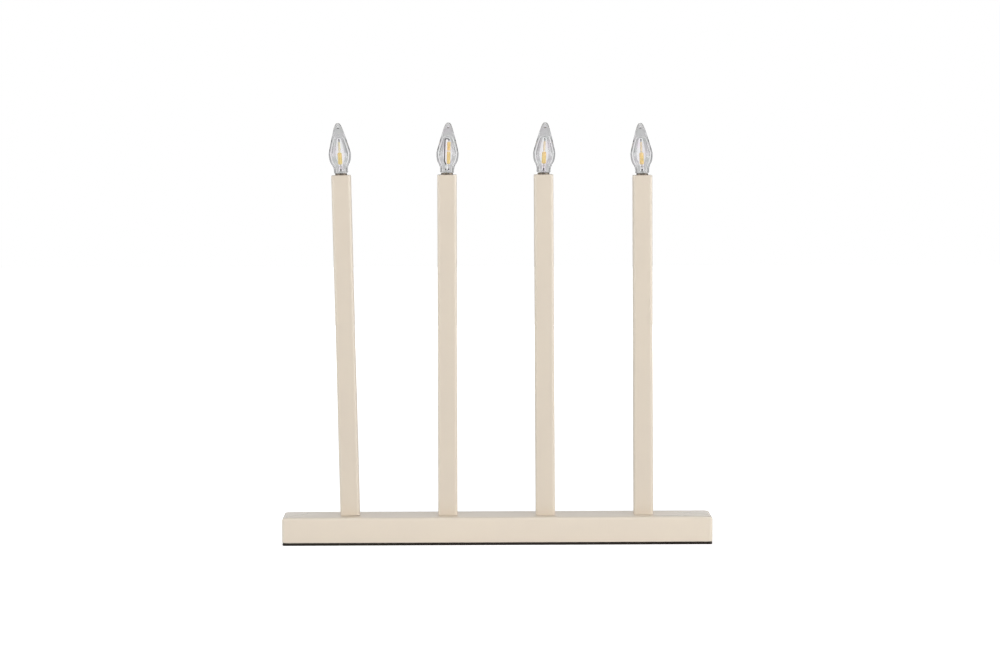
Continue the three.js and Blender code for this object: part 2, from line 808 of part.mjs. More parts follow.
for (let index = 0; index < candleCount; index += 1) {
  const number = index + 1;
  const candle = new THREE.Group();
  candle.applyMatrix4(candleMatrix(index));
  candle.add(named(`post_${number}`, post(index), paintedWood));
  candle.add(named(`lampholder_body_${number}`, lampholderBody(), blackPlastic));
  candle.add(named(`thread_sleeve_${number}`, threadSleeve(), brass));
  candle.add(named(`contact_spring_${number}`, contactSpring(), bronze));
  candle.add(named(`bulb_cap_${number}`, bulbCap(), capMetal));
  candle.add(named(`bulb_insulator_${number}`, bulbInsulator(), blackPlastic));
  candle.add(named(`bulb_contact_${number}`, bulbContact(), solder));

  const glass = new THREE.Group();
  glass.position.set(0, 0, collarShow);
  glass.rotation.order = 'YXZ';
  glass.rotation.y = THREE.MathUtils.degToRad(glassLean[index % glassLean.length]);
  glass.rotation.z = THREE.MathUtils.degToRad(glassTurn[index % glassTurn.length]);
  glass.add(named(`bulb_glass_${number}`, bulbGlass(), clearGlass));
  glass.add(named(`bulb_stem_${number}`, bulbStem(), clearGlass));
  glass.add(named(`bulb_lead_${number}`, bulbLead(), leadMetal));
  glass.add(named(`bulb_filament_${number}`, bulbFilament(), phosphor));
  candle.add(glass);
  candlestick.add(candle);
}

candlestick.add(named('wire_holder_1_in', endWire(0, centreWireX, -wireOffset, -1), wireCover));
for (let index = 0; index + 1 < candleCount; index += 1) {
  candlestick.add(named(`wire_${index + 1}_to_${index + 2}`, linkWire(index), wireCover));
}
candlestick.add(
  named(`wire_holder_${candleCount}_out`, endWire(candleCount - 1, sideWireX, wireOffset, 1), wireCover),
);

export default candlestick;
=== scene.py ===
import json
import math

import bmesh
import bpy
from mathutils import Matrix, Vector, noise

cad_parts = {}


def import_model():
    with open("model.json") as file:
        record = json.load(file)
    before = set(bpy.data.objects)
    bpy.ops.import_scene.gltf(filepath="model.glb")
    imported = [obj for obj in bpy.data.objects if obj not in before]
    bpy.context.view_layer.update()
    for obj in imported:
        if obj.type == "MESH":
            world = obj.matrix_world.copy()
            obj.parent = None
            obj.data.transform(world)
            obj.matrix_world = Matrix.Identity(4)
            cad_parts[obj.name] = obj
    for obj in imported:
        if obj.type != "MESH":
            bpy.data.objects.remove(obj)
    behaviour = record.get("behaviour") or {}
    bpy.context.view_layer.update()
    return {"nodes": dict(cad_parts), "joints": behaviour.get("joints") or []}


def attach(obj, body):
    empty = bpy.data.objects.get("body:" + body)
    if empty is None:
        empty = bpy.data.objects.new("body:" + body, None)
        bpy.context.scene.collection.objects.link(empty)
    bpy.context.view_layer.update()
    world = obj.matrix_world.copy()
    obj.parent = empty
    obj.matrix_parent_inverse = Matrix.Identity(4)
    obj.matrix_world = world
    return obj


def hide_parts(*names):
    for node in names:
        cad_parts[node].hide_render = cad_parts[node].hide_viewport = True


# Advent candlestick with four electric lamps: its finished surfaces, the light and the camera.
# Shapes are drawn in millimetres and become metres when a piece is put in its place. A candle's pieces are
# drawn in the candle's own frame, whose origin is the middle of the post's top, and a bulb's in its own.

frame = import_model()

MM = 0.001
CANDLES = (1, 2, 3, 4)
ROOT_BODY = "candlestick"
CUT_SPARE = 1.0

# Edges sharper than these angles, in degrees, show as edges
SHARP = 30.0
CAP_SHARP = 50.0
BULB_SHARP = 60.0

# Bar and pad
BAR_LENGTH = 377.0
BAR_DEPTH = 45.0
BAR_BOTTOM = 2.4
BAR_TOP = 24.4
BAR_CORNER = 3.0
BAR_EDGE = 2.5
BAR_LOW_EDGE = 0.5
CHANNEL_CEILING = 12.4
CHANNEL_HALF_WIDTH = 7.0
CHANNEL_OVERRUN = 9.0
POCKET_HALF_WIDTH = 12.0
POCKET_BACK = 16.5
GROOVE_HALF_WIDTH = 4.5
GROOVE_TOP = 11.4
SOCKET_RADIUS = 6.2
SOCKET_REACH = 13.5
SOCKET_SPARE = 2.0
PAD_INSET = 0.2
# How far in the pad's side is, and at what height
PAD_PROFILE = (
    (0.15, 0.0), (0.045, 0.045), (0.0, 0.5), (0.03, 1.0), (0.0, 1.5), (0.1, 1.85), (0.3, BAR_BOTTOM),
)
PAD_RAGGED = 0.16
PAD_RAGGED_ALONG = 0.35
PAD_RAGGED_UP = 0.6

# Post, below its top
POST_SIDE = 16.9
POST_HEIGHT = 299.1
POST_SPACING = 86.3
SOCKET_DRIFT = {1: 0.05, 2: -0.3, 3: -0.8, 4: -0.7}
POST_TRIM = {1: 0.3, 2: 0.0, 3: 0.0, 4: 0.9}
POST_CORNER = 2.5
POST_EDGE = 0.6
POST_FOOT_EDGE = 0.1
TENON_RADIUS = 6.0
TENON_LENGTH = 11.5
TENON_CHAMFER = 0.5
WIRE_BORE_RADIUS = 3.5
COUNTERBORE_RADIUS = 6.6
COUNTERBORE_DEPTH = 23.1
COUNTERBORE_CHAMFER = 0.15

# Lampholder and lamp cap, measured from the post's top
HOLDER_RADIUS = 6.4
HOLDER_BORE = 5.5
HOLDER_TOP = -0.3
HOLDER_LEDGE = -8.2
HOLDER_BOTTOM = -22.9
HOLDER_FOOT_CHAMFER = 0.3
HOLDER_RIM_CHAMFER = 0.2
HOLDER_MOUTH_CHAMFER = 0.15
SPRING_CHAMBER = 4.6
PARTITION_TOP = -11.9
PARTITION_BOTTOM = -13.9
TAIL_SLOT_OUTER = 3.6
TAIL_SLOT_INNER = 2.75
TAIL_SLOT_HALF_WIDTH = 1.75
TAB_SLOT_INNER = 4.65
TAB_SLOT_HALF_WIDTH = 1.45
COLLAR_RADIUS = 5.2
COLLAR_TOP = 1.5
COLLAR_BOTTOM = -0.5
COLLAR_ROUND = 0.3
CAP_BOTTOM = -7.5
CAP_BORE = 3.8
CAP_MOUTH_CHAMFER = 0.1
THREAD_PITCH = 1.814
THREAD_MIDDLE = 4.46
THREAD_RISE = 0.26
THREAD_ORIGIN = -13.442
THREAD_START = 0.125
THREAD_FADE = 0.7

# Glass, measured from the collar's top
GLASS_HEIGHT = 44.0
GLASS_RADIUS = 9.75
BELLY_HEIGHT = 17.5
NECK_RADIUS = 6.1
NECK_HEIGHT = 1.0
TIP_RADIUS = 2.8
TIP_SLOPE = math.radians(32.0)
NECK_STIFFNESS = 0.55
BELLY_FULLNESS = 0.69
SHOULDER_FULLNESS = 0.02
FLANK_LENGTH = 0.125
GLASS_FOOT = 0.26
GLASS_WALL = 4.1
BORE_TOP = 3.8
SPIGOT_RADIUS = 3.4
SPIGOT_BORE = 2.5
SPIGOT_LENGTH = 4.0
SPIGOT_ROUND = 0.2
CEMENT_INNER = SPIGOT_RADIUS - 0.25
CEMENT_OUTER = NECK_RADIUS - 0.4
CEMENT_TOP = GLASS_FOOT + 0.05
HOLLOW_TOP = 32.0
HOLLOW_TOP_RADIUS = 3.0
BUBBLE_BOTTOM = 38.6
BUBBLE_TOP = 41.4
BUBBLE_RADIUS = 1.1
BUBBLE_TAPER = 0.15
NECK_CLEAR_TOP = 8.5
NECK_CLEAR_FADE = 3.0
TIP_CLEAR_BOTTOM = 37.5
TIP_CLEAR_FADE = 3.0
CLEAREST = 0.95

# Stem, support wire and filament, measured from the collar's top
WIRE_TURN = {1: math.radians(7.0), 2: 0.0, 3: 0.0, 4: 0.0}
STEM_TOP = 7.7
STEM_FLARE = 2.3
STEM_WAIST = 1.8
STEM_SHOULDER = 4.5
STEM_HOLLOW = 1.6
STEM_HOLLOW_TOP = 2.5
PINCH_HALF_WIDTH = 2.1
PINCH_HALF_DEPTH = 1.25
SEAL_BOTTOM = 2.6
SEAL_TOP = 3.9
SEAL_RADIUS = 0.6
STEM_WIRE_RADIUS = 0.28
STEM_WIRE_TOP = STEM_TOP + 0.4
FREE_LEAD_RADIUS = 0.5
LEAD_HOLE = 0.95
LEAD_OFFSET = 2.5
LEAD_TOP = 29.5
LEAD_FOOT = -8.0
LEAD_LEAVES = STEM_TOP + 0.5
LEAD_UPRIGHT = STEM_TOP + 2.5
LEAD_BEND = 0.9
LEAD_PIN_GAP = 0.1
# support wire faces turned this far towards the filament get a painted highlight
LEAD_HIGHLIT_SIDE = 0.8
FILAMENT_OFFSET = 1.0
FILAMENT_FOOT = 8.6
FILAMENT_TOP = 27.0
FILAMENT_HALF_WIDTH = 1.6
FILAMENT_HALF_DEPTH = 0.85
FILAMENT_END_ROUND = 0.8
FILAMENT_BLOCK_TOP = 17.8
FILAMENT_BLOCK_HALF_DEPTH = 1.85
FILAMENT_BLOCK_ROUND = 1.2
FILAMENT_SQUARENESS = 3.0
FILAMENT_PIN = 0.9
FILAMENT_PIN_SUNK = 0.5
FILAMENT_WIRE_FOOT = STEM_HOLLOW_TOP + 0.2
FILAMENT_WIRE_BEND = 0.4
CHIP_PITCH = 1.05
CHIP_SWELL = 0.035
CHIP_FULLNESS = 0.97
BARE_BAND = (-0.1, 1.7)
BARE_SIDE_START = 0.3
BARE_SIDE_FACING = 0.6

# How finely round shapes are drawn: sides of a circle, steps of a curve, rows of a long shape
SOCKET_SIDES = 48
HOLDER_SIDES = 64
CAP_SIDES = 64
GLASS_SIDES = 72
BUBBLE_SIDES = 24
STEM_SIDES = 32
FILAMENT_SIDES = 28
WIRE_SIDES = 12
CORNER_STEPS = 8
PAD_CORNER_STEPS = 6
BAR_EDGE_STEPS = 10
POST_EDGE_STEPS = 5
COLLAR_STEPS = 4
FINE_EDGE_STEPS = 2
BELLY_STEPS = 18
SHOULDER_STEPS = 24
TIP_STEPS = 8
BUBBLE_STEPS = 12
BEND_STEPS = 6
THREAD_ROWS = 12
POST_ROWS = 24
FILAMENT_ROWS = 76

# How far apart the points along a straight run are, and the height up to which a wire has them
BAR_GAP = 12.0
POST_GAP = 3.0
PAD_GAP = 1.5
SEAL_GAP = 0.45
SEAL_GAPS_END = 6.0

# Camera, from where the photograph's perspective puts it
CAMERA_DISTANCE = 2780.0
CAMERA_HEIGHT = 392.1
CAMERA_YAW = math.radians(0.523)
CAMERA_AIM = math.radians(0.0593)
CAMERA_PITCH = math.radians(4.279)
CAMERA_ROLL = math.radians(0.154)
CAMERA_LENS = 114.31
CAMERA_SENSOR = 36.0
CAMERA_CLIP = (0.05, 60.0)

# Studio, in metres and in shares of white. A span is where one level turns into another.
WHITE = (1.0, 1.0, 1.0, 1.0)
FLOOR_HALF = 4.5
FLOOR_COLOUR = (0.8, 0.8, 0.8, 1.0)
FLOOR_ROUGHNESS = 0.9
FLOOR_GLOW_SPAN = (0.6, 2.0)
FLOOR_GLOW = (0.7, 1.0)
FLOOR_SCREENS_SPAN = (1.0, 2.2)
FLOOR_NEAR_SPAN = (0.35, 0.8)
FLOOR_NEAR = (0.78, 0.55)
FLOOR_FAR_SPAN = (0.3, 3.5)
FLOOR_FAR = (0.55, 0.62)
SCREENS = 4.0
SCREEN_SPAN = (0.0, 0.5)
SCREEN_WHITE = 0.9
SCREEN_LEVELS = (0.2, 0.4)
BESIDE_SPAN = (-1.0, -0.5)
BESIDE = (0.3, 0.56)
CORE_SPAN = (0.978, 0.995)
CORE_WHITE = 0.1
AMBIENT = (0.42, 0.2)

# Area lights: place and width in metres, power in watts, and whether gloss shows them
LIGHT_AIM = Vector((0.0, 0.0, 0.15))
LIGHTS = (
    ("key", (-1.5, -2.3, 0.3), 1.0, 21.5, False),
    ("key", (1.5, -2.3, 0.3), 1.0, 21.5, False),
    ("right", (2.2, -0.9, 0.4), 1.8, 30.0, True),
    ("left", (-2.2, -0.9, 0.4), 1.8, 16.5, True),
    ("back", (0.0, 2.6, 0.45), 1.4, 16.0, False),
    ("top", (0.0, -0.3, 2.4), 1.2, 5.5, True),
)

# Textures: waves to a metre, how many finer waves lie on them, and how strong those are
PAINT_PATCHES = (26.0, 4.0, 0.55)
PAINT_STIPPLE = (1500.0, 2.0, 0.5)
WOOD_GRAIN = (900.0, 5.0, 0.6)
WOOD_GRAIN_STRETCH = 0.035
FOAM_CELLS = 1900.0
FOAM_DUST = (90.0, 3.0, 0.5)
GLASS_SHEEN = (75.0, 1.0, 0.5)
PLASTIC_CLOUDING = (240.0, 3.0, 0.5)
PLASTIC_TEXTURE = (5200.0, 2.0, 0.5)
PHOSPHOR_LUMPS = (700.0, 3.0, 0.6)

# Between which values of a texture one look turns into another
SHADE_SPAN = (0.35, 0.7)
NOISE_SPAN = (0.3, 0.7)

# Reliefs: strength, and depth in metres
STIPPLE_RELIEF = (0.12, 0.0002)
GRAIN_RELIEF = (0.11, 0.0003)
FOAM_RELIEF = (0.6, 0.0003)
GLASS_RELIEF = (0.06, 0.0006)
SCRATCH_RELIEF = (0.15, 0.00005)
PLASTIC_RELIEF = (0.2, 0.00006)
PHOSPHOR_RELIEF = (0.3, 0.0001)

# Colours as they show on screen, how rough and streaked the paint is, how far its edges are worn and
# lightened by a painted highlight and how far polished, and how much darker the posts are by a painted shade
PAINT = (230, 218, 201)
PAINT_PATCH = (228, 216, 200)
PAINT_STREAK = (219, 206, 188)
PAINT_WORN_AND_HIGHLIT = (236, 226, 211)
PAINT_ROUGHNESS = (0.305, 0.315)
STREAK_SHARE = 0.12
WEAR_AND_HIGHLIGHT_SHARE = 0.5
WEAR_POLISH = 0.08
# painted shade: the posts' paint is darker, for the floor's bounce light that reaches the bar's front more
POST_PAINTED_SHADE = 8
FOAM_BLACK = (22, 18, 14)
FOAM_CELL = (38, 32, 27)
FOAM_GREY = (52, 46, 40)
PHOSPHOR_YELLOW = (253, 225, 152)
PHOSPHOR_DEEP = (246, 212, 130)

# Glasses: tint, painted shade towards the edges, waves to a metre, and index of refraction
GLASSES = {
    "clear_glass": ((0.965, 0.957, 0.965, 1.0), (0.26, 0.26, 0.27, 1.0), 160.0, 1.5),
    "inner_glass": ((0.98, 0.972, 0.98, 1.0), (0.92, 0.915, 0.92, 1.0), 160.0, 1.5),
    "stem_glass": ((0.97, 0.972, 0.975, 1.0), (0.8, 0.81, 0.82, 1.0), 300.0, 1.25),
}
GLASS_EDGE_SPAN = (0.36, 0.62)
GLASS_SHADOW = (0.99, 0.99, 0.99, 1.0)
SHEEN_VIOLET = (1.0, 0.972, 1.0, 1.0)
SHEEN_GREEN = (0.972, 1.0, 0.985, 1.0)

# Metals: bright and dull colour, roughness, spots to a metre, and how metallic they are
METALS = {
    "cap_metal": ((150, 140, 128), (112, 103, 92), 0.42, 900.0, 1.0),
    "sleeve_brass": ((206, 172, 98), (170, 134, 74), 0.3, 700.0, 1.0),
    "spring_bronze": ((196, 148, 96), (160, 112, 70), 0.3, 700.0, 1.0),
    "solder": ((196, 197, 200), (150, 151, 154), 0.42, 1200.0, 1.0),
    "lead_metal": ((40, 36, 35), (28, 25, 25), 0.6, 1500.0, 0.1),
    # plated wire, also used as a painted highlight on the support wire's side facing the filament
    "plated_and_highlit_wire": ((226, 222, 218), (205, 200, 196), 0.35, 1500.0, 0.6),
}

# Plastics, cement and the filament's strip: colour, its cloudier shade, and roughness
PLASTICS = {
    "cement": ((226, 222, 215), (212, 207, 199), 0.8),
    "filament_strip": ((252, 241, 210), (247, 234, 198), 0.3),
    "black_plastic": ((38, 36, 34), (30, 29, 28), 0.45),
    "wire_cover": ((226, 221, 209), (217, 211, 198), 0.5),
    "crimp_cover": ((188, 80, 66), (170, 68, 56), 0.4),
}


def new_object(name, data):
    made = bpy.data.objects.new(name, data)
    bpy.context.scene.collection.objects.link(made)
    return made


def camera():
    data = bpy.data.cameras.new("camera")
    data.lens = CAMERA_LENS
    data.sensor_width = CAMERA_SENSOR
    data.clip_start, data.clip_end = CAMERA_CLIP
    found = new_object("camera", data)
    place = Vector((
        -CAMERA_DISTANCE * math.sin(CAMERA_YAW),
        -CAMERA_DISTANCE * math.cos(CAMERA_YAW),
        CAMERA_HEIGHT,
    )) * MM
    found.matrix_world = (
        Matrix.Translation(place)
        @ Matrix.Rotation(-CAMERA_YAW - CAMERA_AIM, 4, "Z")
        @ Matrix.Rotation(math.pi / 2 - CAMERA_PITCH, 4, "X")
        @ Matrix.Rotation(-CAMERA_ROLL, 4, "Z")
    )
    bpy.context.scene.camera = found


class Nodes:
    """Adds nodes to a tree, with input values and links given by socket name."""

    def __init__(self, tree):
        self.tree = tree

    def add(self, kind, inputs=None, **settings):
        made = self.tree.nodes.new(kind)
        for key, value in settings.items():
            setattr(made, key, value)
        for key, value in (inputs or {}).items():
            self.feed(made.inputs[key], value)
        return made

    def feed(self, socket, value):
        if isinstance(value, bpy.types.NodeSocket):
            self.tree.links.new(value, socket)
        else:
            socket.default_value = value

    def math(self, operation, first, second=0.0):
        return self.add("ShaderNodeMath", {0: first, 1: second}, operation=operation).outputs[0]

    def ramp(self, value, span, levels=(0.0, 1.0)):
        """A smooth step from one level to the other while the value goes through the span."""
        ends = {"From Min": span[0], "From Max": span[1], "To Min": levels[0], "To Max": levels[1]}
        step = self.add("ShaderNodeMapRange", {"Value": value, **ends}, interpolation_type="SMOOTHSTEP")
        return step.outputs["Result"]

    def blend(self, factor, first, second, blend_type="MIX"):
        mix = self.add("ShaderNodeMix", data_type="RGBA", blend_type=blend_type)
        for socket, value in (("Factor_Float", factor), ("A_Color", first), ("B_Color", second)):
            self.feed(next(s for s in mix.inputs if s.identifier == socket), value)
        return next(s for s in mix.outputs if s.identifier == "Result_Color")

    def cloud(self, place, texture):
        scale, detail, roughness = texture
        inputs = {"Vector": place, "Scale": scale, "Detail": detail, "Roughness": roughness}
        return self.add("ShaderNodeTexNoise", inputs).outputs["Fac"]

    def relief(self, height, relief, under=None):
        """A normal tipped by a relief, on top of the normal of another one where that is given."""
        strength, depth = relief
        made = self.add("ShaderNodeBump", {"Height": height, "Strength": strength, "Distance": depth})
        if under is not None:
            self.feed(made.inputs["Normal"], under)
        return made.outputs["Normal"]

    def place(self, stretch=(1.0, 1.0, 1.0)):
        """The piece's own coordinates in metres, stretched along each axis."""
        coordinates = self.add("ShaderNodeTexCoord").outputs["Object"]
        return self.add("ShaderNodeMapping", {"Vector": coordinates, "Scale": stretch}).outputs["Vector"]

    def edge_value(self):
        """The mesh's edge value: wear and painted highlight on paint, and where glass loses its painted edge
        shade.
        """
        return self.add("ShaderNodeAttribute", attribute_name="edge").outputs["Fac"]

    def ray(self, kind):
        """1 for rays of one kind."""
        return self.add("ShaderNodeLightPath").outputs[f"Is {kind} Ray"]

    def mirrored_ray(self):
        """1 for rays that glass or gloss sends on."""
        return self.math("MAXIMUM", self.ray("Glossy"), self.ray("Transmission"))

    def cover(self, shader, colour, roughness, normal):
        """Gives a shader its colour, roughness and relief."""
        for key, value in (("Base Color", colour), ("Roughness", roughness), ("Normal", normal)):
            self.feed(shader.inputs[key], value)

    def surface(self, share, first, second):
        """Ends the material in a mix of two shaders, the second by a share."""
        both = self.add("ShaderNodeMixShader", {0: share, 1: first, 2: second}).outputs["Shader"]
        self.feed(self.tree.nodes["Material Output"].inputs["Surface"], both)


def linear(colour, shade=0):
    """A colour as it shows on screen, from 0 to 255, less a shade, as a shader's linear colour."""
    def one(value):
        share = (value - shade) / 255.0
        return share / 12.92 if share <= 0.04045 else ((share + 0.055) / 1.055) ** 2.4
    return (*(one(value) for value in colour), 1.0)


def material(name):
    made = bpy.data.materials.new(name)
    made.use_nodes = True
    return made, Nodes(made.node_tree), made.node_tree.nodes["Principled BSDF"]


def painted_wood(name, grain_axis, shade):
    """Pale beige paint, rolled on over planed wood whose grain still shows faintly through it."""
    made, nodes, shader = material(name)
    place = nodes.place()
    along = [1.0, 1.0, 1.0]
    along[grain_axis] = WOOD_GRAIN_STRETCH
    patches = nodes.cloud(place, PAINT_PATCHES)
    stipple = nodes.cloud(place, PAINT_STIPPLE)
    grain = nodes.cloud(nodes.place(along), WOOD_GRAIN)
    worn_and_highlit = nodes.edge_value()
    colour = nodes.blend(nodes.ramp(patches, NOISE_SPAN), linear(PAINT, shade), linear(PAINT_PATCH, shade))
    streaks = nodes.ramp(grain, (0.62, 0.85), (0.0, STREAK_SHARE))
    streaked = nodes.blend(streaks, colour, linear(PAINT_STREAK, shade))
    # lighter rounded edges: partly wear, partly a painted highlight where they catch the light
    edged = nodes.blend(nodes.math("MULTIPLY", worn_and_highlit, WEAR_AND_HIGHLIGHT_SHARE), streaked, linear(PAINT_WORN_AND_HIGHLIT))
    rough = nodes.ramp(patches, (0.25, 0.75), PAINT_ROUGHNESS)
    polished = nodes.math("SUBTRACT", rough, nodes.math("MULTIPLY", worn_and_highlit, WEAR_POLISH))
    rolled = nodes.relief(stipple, STIPPLE_RELIEF)
    nodes.cover(shader, edged, polished, nodes.relief(grain, GRAIN_RELIEF, rolled))
    return made


def foam():
    """Black closed-cell foam with a cut edge."""
    made, nodes, shader = material("foam_pad")
    place = nodes.place()
    cells = nodes.add("ShaderNodeTexVoronoi", {"Vector": place, "Scale": FOAM_CELLS}).outputs["Distance"]
    patches = nodes.cloud(place, FOAM_DUST)
    colour = nodes.blend(nodes.ramp(cells, (0.1, 0.6)), linear(FOAM_BLACK), linear(FOAM_CELL))
    dusted = nodes.blend(nodes.ramp(patches, (0.55, 0.8), (0.0, 0.5)), colour, linear(FOAM_GREY))
    roughness = nodes.ramp(patches, (0.2, 0.8), (0.85, 0.98))
    nodes.cover(shader, dusted, roughness, nodes.relief(cells, FOAM_RELIEF))
    return made


def clear_glass(name, tint, edge_shade, ripple, bend):
    """Clear glass with a faint violet and green sheen, and a painted shade that greys it towards its edges.

    It casts no dark shadow, so what it encloses is lit.
    """
    made, nodes, shader = material(name)
    place = nodes.place()
    waves = nodes.cloud(place, (ripple, 2.0, 0.4))
    facing = nodes.add("ShaderNodeLayerWeight", {"Blend": 0.35}).outputs["Facing"]
    cleared = nodes.edge_value()
    uncleared = nodes.math("SUBTRACT", 1.0, cleared)
    # painted shade: greyer towards the edges, for the darker studio that the glass's rim shows
    greyed = nodes.math("MULTIPLY", nodes.ramp(facing, GLASS_EDGE_SPAN), uncleared)
    sheen = nodes.ramp(nodes.cloud(place, GLASS_SHEEN), (0.4, 0.6))
    tinted = nodes.blend(1.0, nodes.blend(sheen, SHEEN_VIOLET, SHEEN_GREEN), tint, "MULTIPLY")
    colour = nodes.blend(greyed, nodes.blend(cleared, tinted, WHITE), edge_shade)
    roughness = nodes.ramp(waves, NOISE_SPAN, (0.0, 0.02))
    nodes.cover(shader, colour, roughness, nodes.relief(waves, GLASS_RELIEF))
    shader.inputs["Transmission Weight"].default_value = 1.0
    shader.inputs["IOR"].default_value = bend
    passing = nodes.add("ShaderNodeBsdfTransparent", {"Color": GLASS_SHADOW})
    nodes.surface(nodes.ray("Shadow"), shader.outputs["BSDF"], passing.outputs["BSDF"])
    return made


def metal(name, bright, dull, roughness, spots, metallic):
    """Metal with cloudy tarnish and fine scratches."""
    made, nodes, shader = material(name)
    tarnish = nodes.cloud(nodes.place(), (spots, 4.0, 0.6))
    scratches = nodes.cloud(nodes.place((1.0, 1.0, 12.0)), (spots * 6.0, 3.0, 0.7))
    colour = nodes.blend(nodes.ramp(tarnish, SHADE_SPAN), linear(bright), linear(dull))
    rough = nodes.ramp(tarnish, NOISE_SPAN, (roughness * 0.85, min(1.0, roughness * 1.3)))
    nodes.cover(shader, colour, rough, nodes.relief(scratches, SCRATCH_RELIEF))
    shader.inputs["Metallic"].default_value = metallic
    return made


def plastic(name, colour, shade, roughness):
    """Moulded plastic with a fine spark-eroded texture and slight clouding."""
    made, nodes, shader = material(name)
    place = nodes.place()
    clouding = nodes.cloud(place, PLASTIC_CLOUDING)
    texture = nodes.cloud(place, PLASTIC_TEXTURE)
    clouded = nodes.blend(nodes.ramp(clouding, SHADE_SPAN), linear(colour), linear(shade))
    rough = nodes.ramp(clouding, NOISE_SPAN, (roughness - 0.05, roughness + 0.07))
    nodes.cover(shader, clouded, rough, nodes.relief(texture, PLASTIC_RELIEF))
    return made


def phosphor():
    """The filament's rubbery yellow coat, a little lumpy."""
    made, nodes, shader = material("phosphor")
    lumps = nodes.cloud(nodes.place(), PHOSPHOR_LUMPS)
    colour = nodes.blend(nodes.ramp(lumps, SHADE_SPAN), linear(PHOSPHOR_YELLOW), linear(PHOSPHOR_DEEP))
    roughness = nodes.ramp(lumps, NOISE_SPAN, (0.32, 0.5))
    nodes.cover(shader, colour, roughness, nodes.relief(lumps, PHOSPHOR_RELIEF))
    shader.inputs["Subsurface Weight"].default_value = 0.15
    shader.inputs["Subsurface Radius"].default_value = (0.0012, 0.0008, 0.0003)
    return made


def looks():
    """Every finished material, by its name."""
    made = {name: clear_glass(name, *values) for name, values in GLASSES.items()}
    made |= {name: metal(name, *values) for name, values in METALS.items()}
    made |= {name: plastic(name, *values) for name, values in PLASTICS.items()}
    made["painted_wood_bar"] = painted_wood("painted_wood_bar", 0, 0)
    # the posts' paint is darker by a painted shade
    made["painted_wood_post"] = painted_wood("painted_wood_post", 2, POST_PAINTED_SHADE)
    made["foam_pad"] = foam()
    made["phosphor"] = phosphor()
    return made


def circle(radius, height, directions, edge_mark=0.0):
    return [(radius * math.cos(a), radius * math.sin(a), height, edge_mark) for a in directions]


def end_point(height, edge_mark=0.0, across=0.0):
    """A ring of one point, which closes the end of a shape."""
    return [(across, 0.0, height, edge_mark)]


def even_directions(sides):
    return [2.0 * math.pi * i / sides for i in range(sides)]


def rounded_outline(width, depth, radius, corner_steps, gap):
    """Points anticlockwise round a rectangle with rounded corners, each with how far round a corner it is."""
    points = []
    half_x, half_y = width / 2.0 - radius, depth / 2.0 - radius
    corners = ((half_x, half_y), (-half_x, half_y), (-half_x, -half_y), (half_x, -half_y))
    for index, (x, y) in enumerate(corners):
        for step in range(corner_steps + 1):
            share = step / corner_steps
            angle = (index + share) * math.pi / 2.0
            # lighter towards the middle of each corner: wear and a painted highlight
            edge_mark = math.sin(share * math.pi)
            points.append((x + radius * math.cos(angle), y + radius * math.sin(angle), edge_mark))
        turned = (index + 1) * math.pi / 2.0
        start = Vector((x + radius * math.cos(turned), y + radius * math.sin(turned)))
        next_x, next_y = corners[(index + 1) % 4]
        end = Vector((next_x + radius * math.cos(turned), next_y + radius * math.sin(turned)))
        count = max(1, round((end - start).length / gap))
        for step in range(1, count):
            between = start.lerp(end, step / count)
            points.append((between.x, between.y, 0.0))
    return points


def inset_ring(outline, inset, height, edge_mark=0.0):
    """The outline drawn in by an inset, measured square to its sides."""
    ring = []
    for x, y, corner_mark in outline:
        place = (x - math.copysign(inset, x), y - math.copysign(inset, y), height)
        ring.append((*place, max(edge_mark, corner_mark)))
    return ring


def finished_mesh(name, mesh):
    made = bpy.data.meshes.new(name)
    mesh.to_mesh(made)
    mesh.free()
    return made


def ring_mesh(name, rings, closed=False):
    """A mesh of rings with equally many points each. A ring of one point closes its end."""
    mesh = bmesh.new()
    edge_layer = mesh.verts.layers.float.new("edge")
    rows = []
    for ring in rings:
        row = []
        for x, y, z, edge in ring:
            vertex = mesh.verts.new((x, y, z))
            vertex[edge_layer] = edge
            row.append(vertex)
        rows.append(row)
    pairs = list(zip(rows, rows[1:]))
    if closed:
        pairs.append((rows[-1], rows[0]))
    for low, high in pairs:
        count = max(len(low), len(high))
        for i in range(count):
            j = (i + 1) % count
            if len(low) == 1:
                mesh.faces.new((low[0], high[j], high[i]))
            elif len(high) == 1:
                mesh.faces.new((low[i], low[j], high[0]))
            else:
                mesh.faces.new((low[i], low[j], high[j], high[i]))
    if not closed:
        for row in (rows[0], rows[-1]):
            if len(row) > 2:
                mesh.faces.new(row)
    bmesh.ops.recalc_face_normals(mesh, faces=mesh.faces)
    return finished_mesh(name, mesh)


def piece(name, mesh, matrix, look, body, replaced, sharp=SHARP):
    """Puts a mesh drawn in millimetres in its place as a finished piece."""
    mesh.transform(matrix @ Matrix.Scale(MM, 4))
    mesh.shade_smooth()
    mesh.set_sharp_from_angle(angle=math.radians(sharp))
    mesh.materials.append(look)
    found = new_object(name, mesh)
    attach(found, body)
    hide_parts(replaced)


def candle_matrix(number):
    """The candle's frame in metres, from its lamp's joint."""
    joint = next(j for j in frame["joints"] if j["name"] == f"lamp_{number}_turn")
    up = Vector(joint["axis"]).normalized()
    turn = Vector((0.0, 0.0, 1.0)).rotation_difference(up).to_matrix().to_4x4()
    return Matrix.Translation(Vector(joint["pos_m"])) @ turn


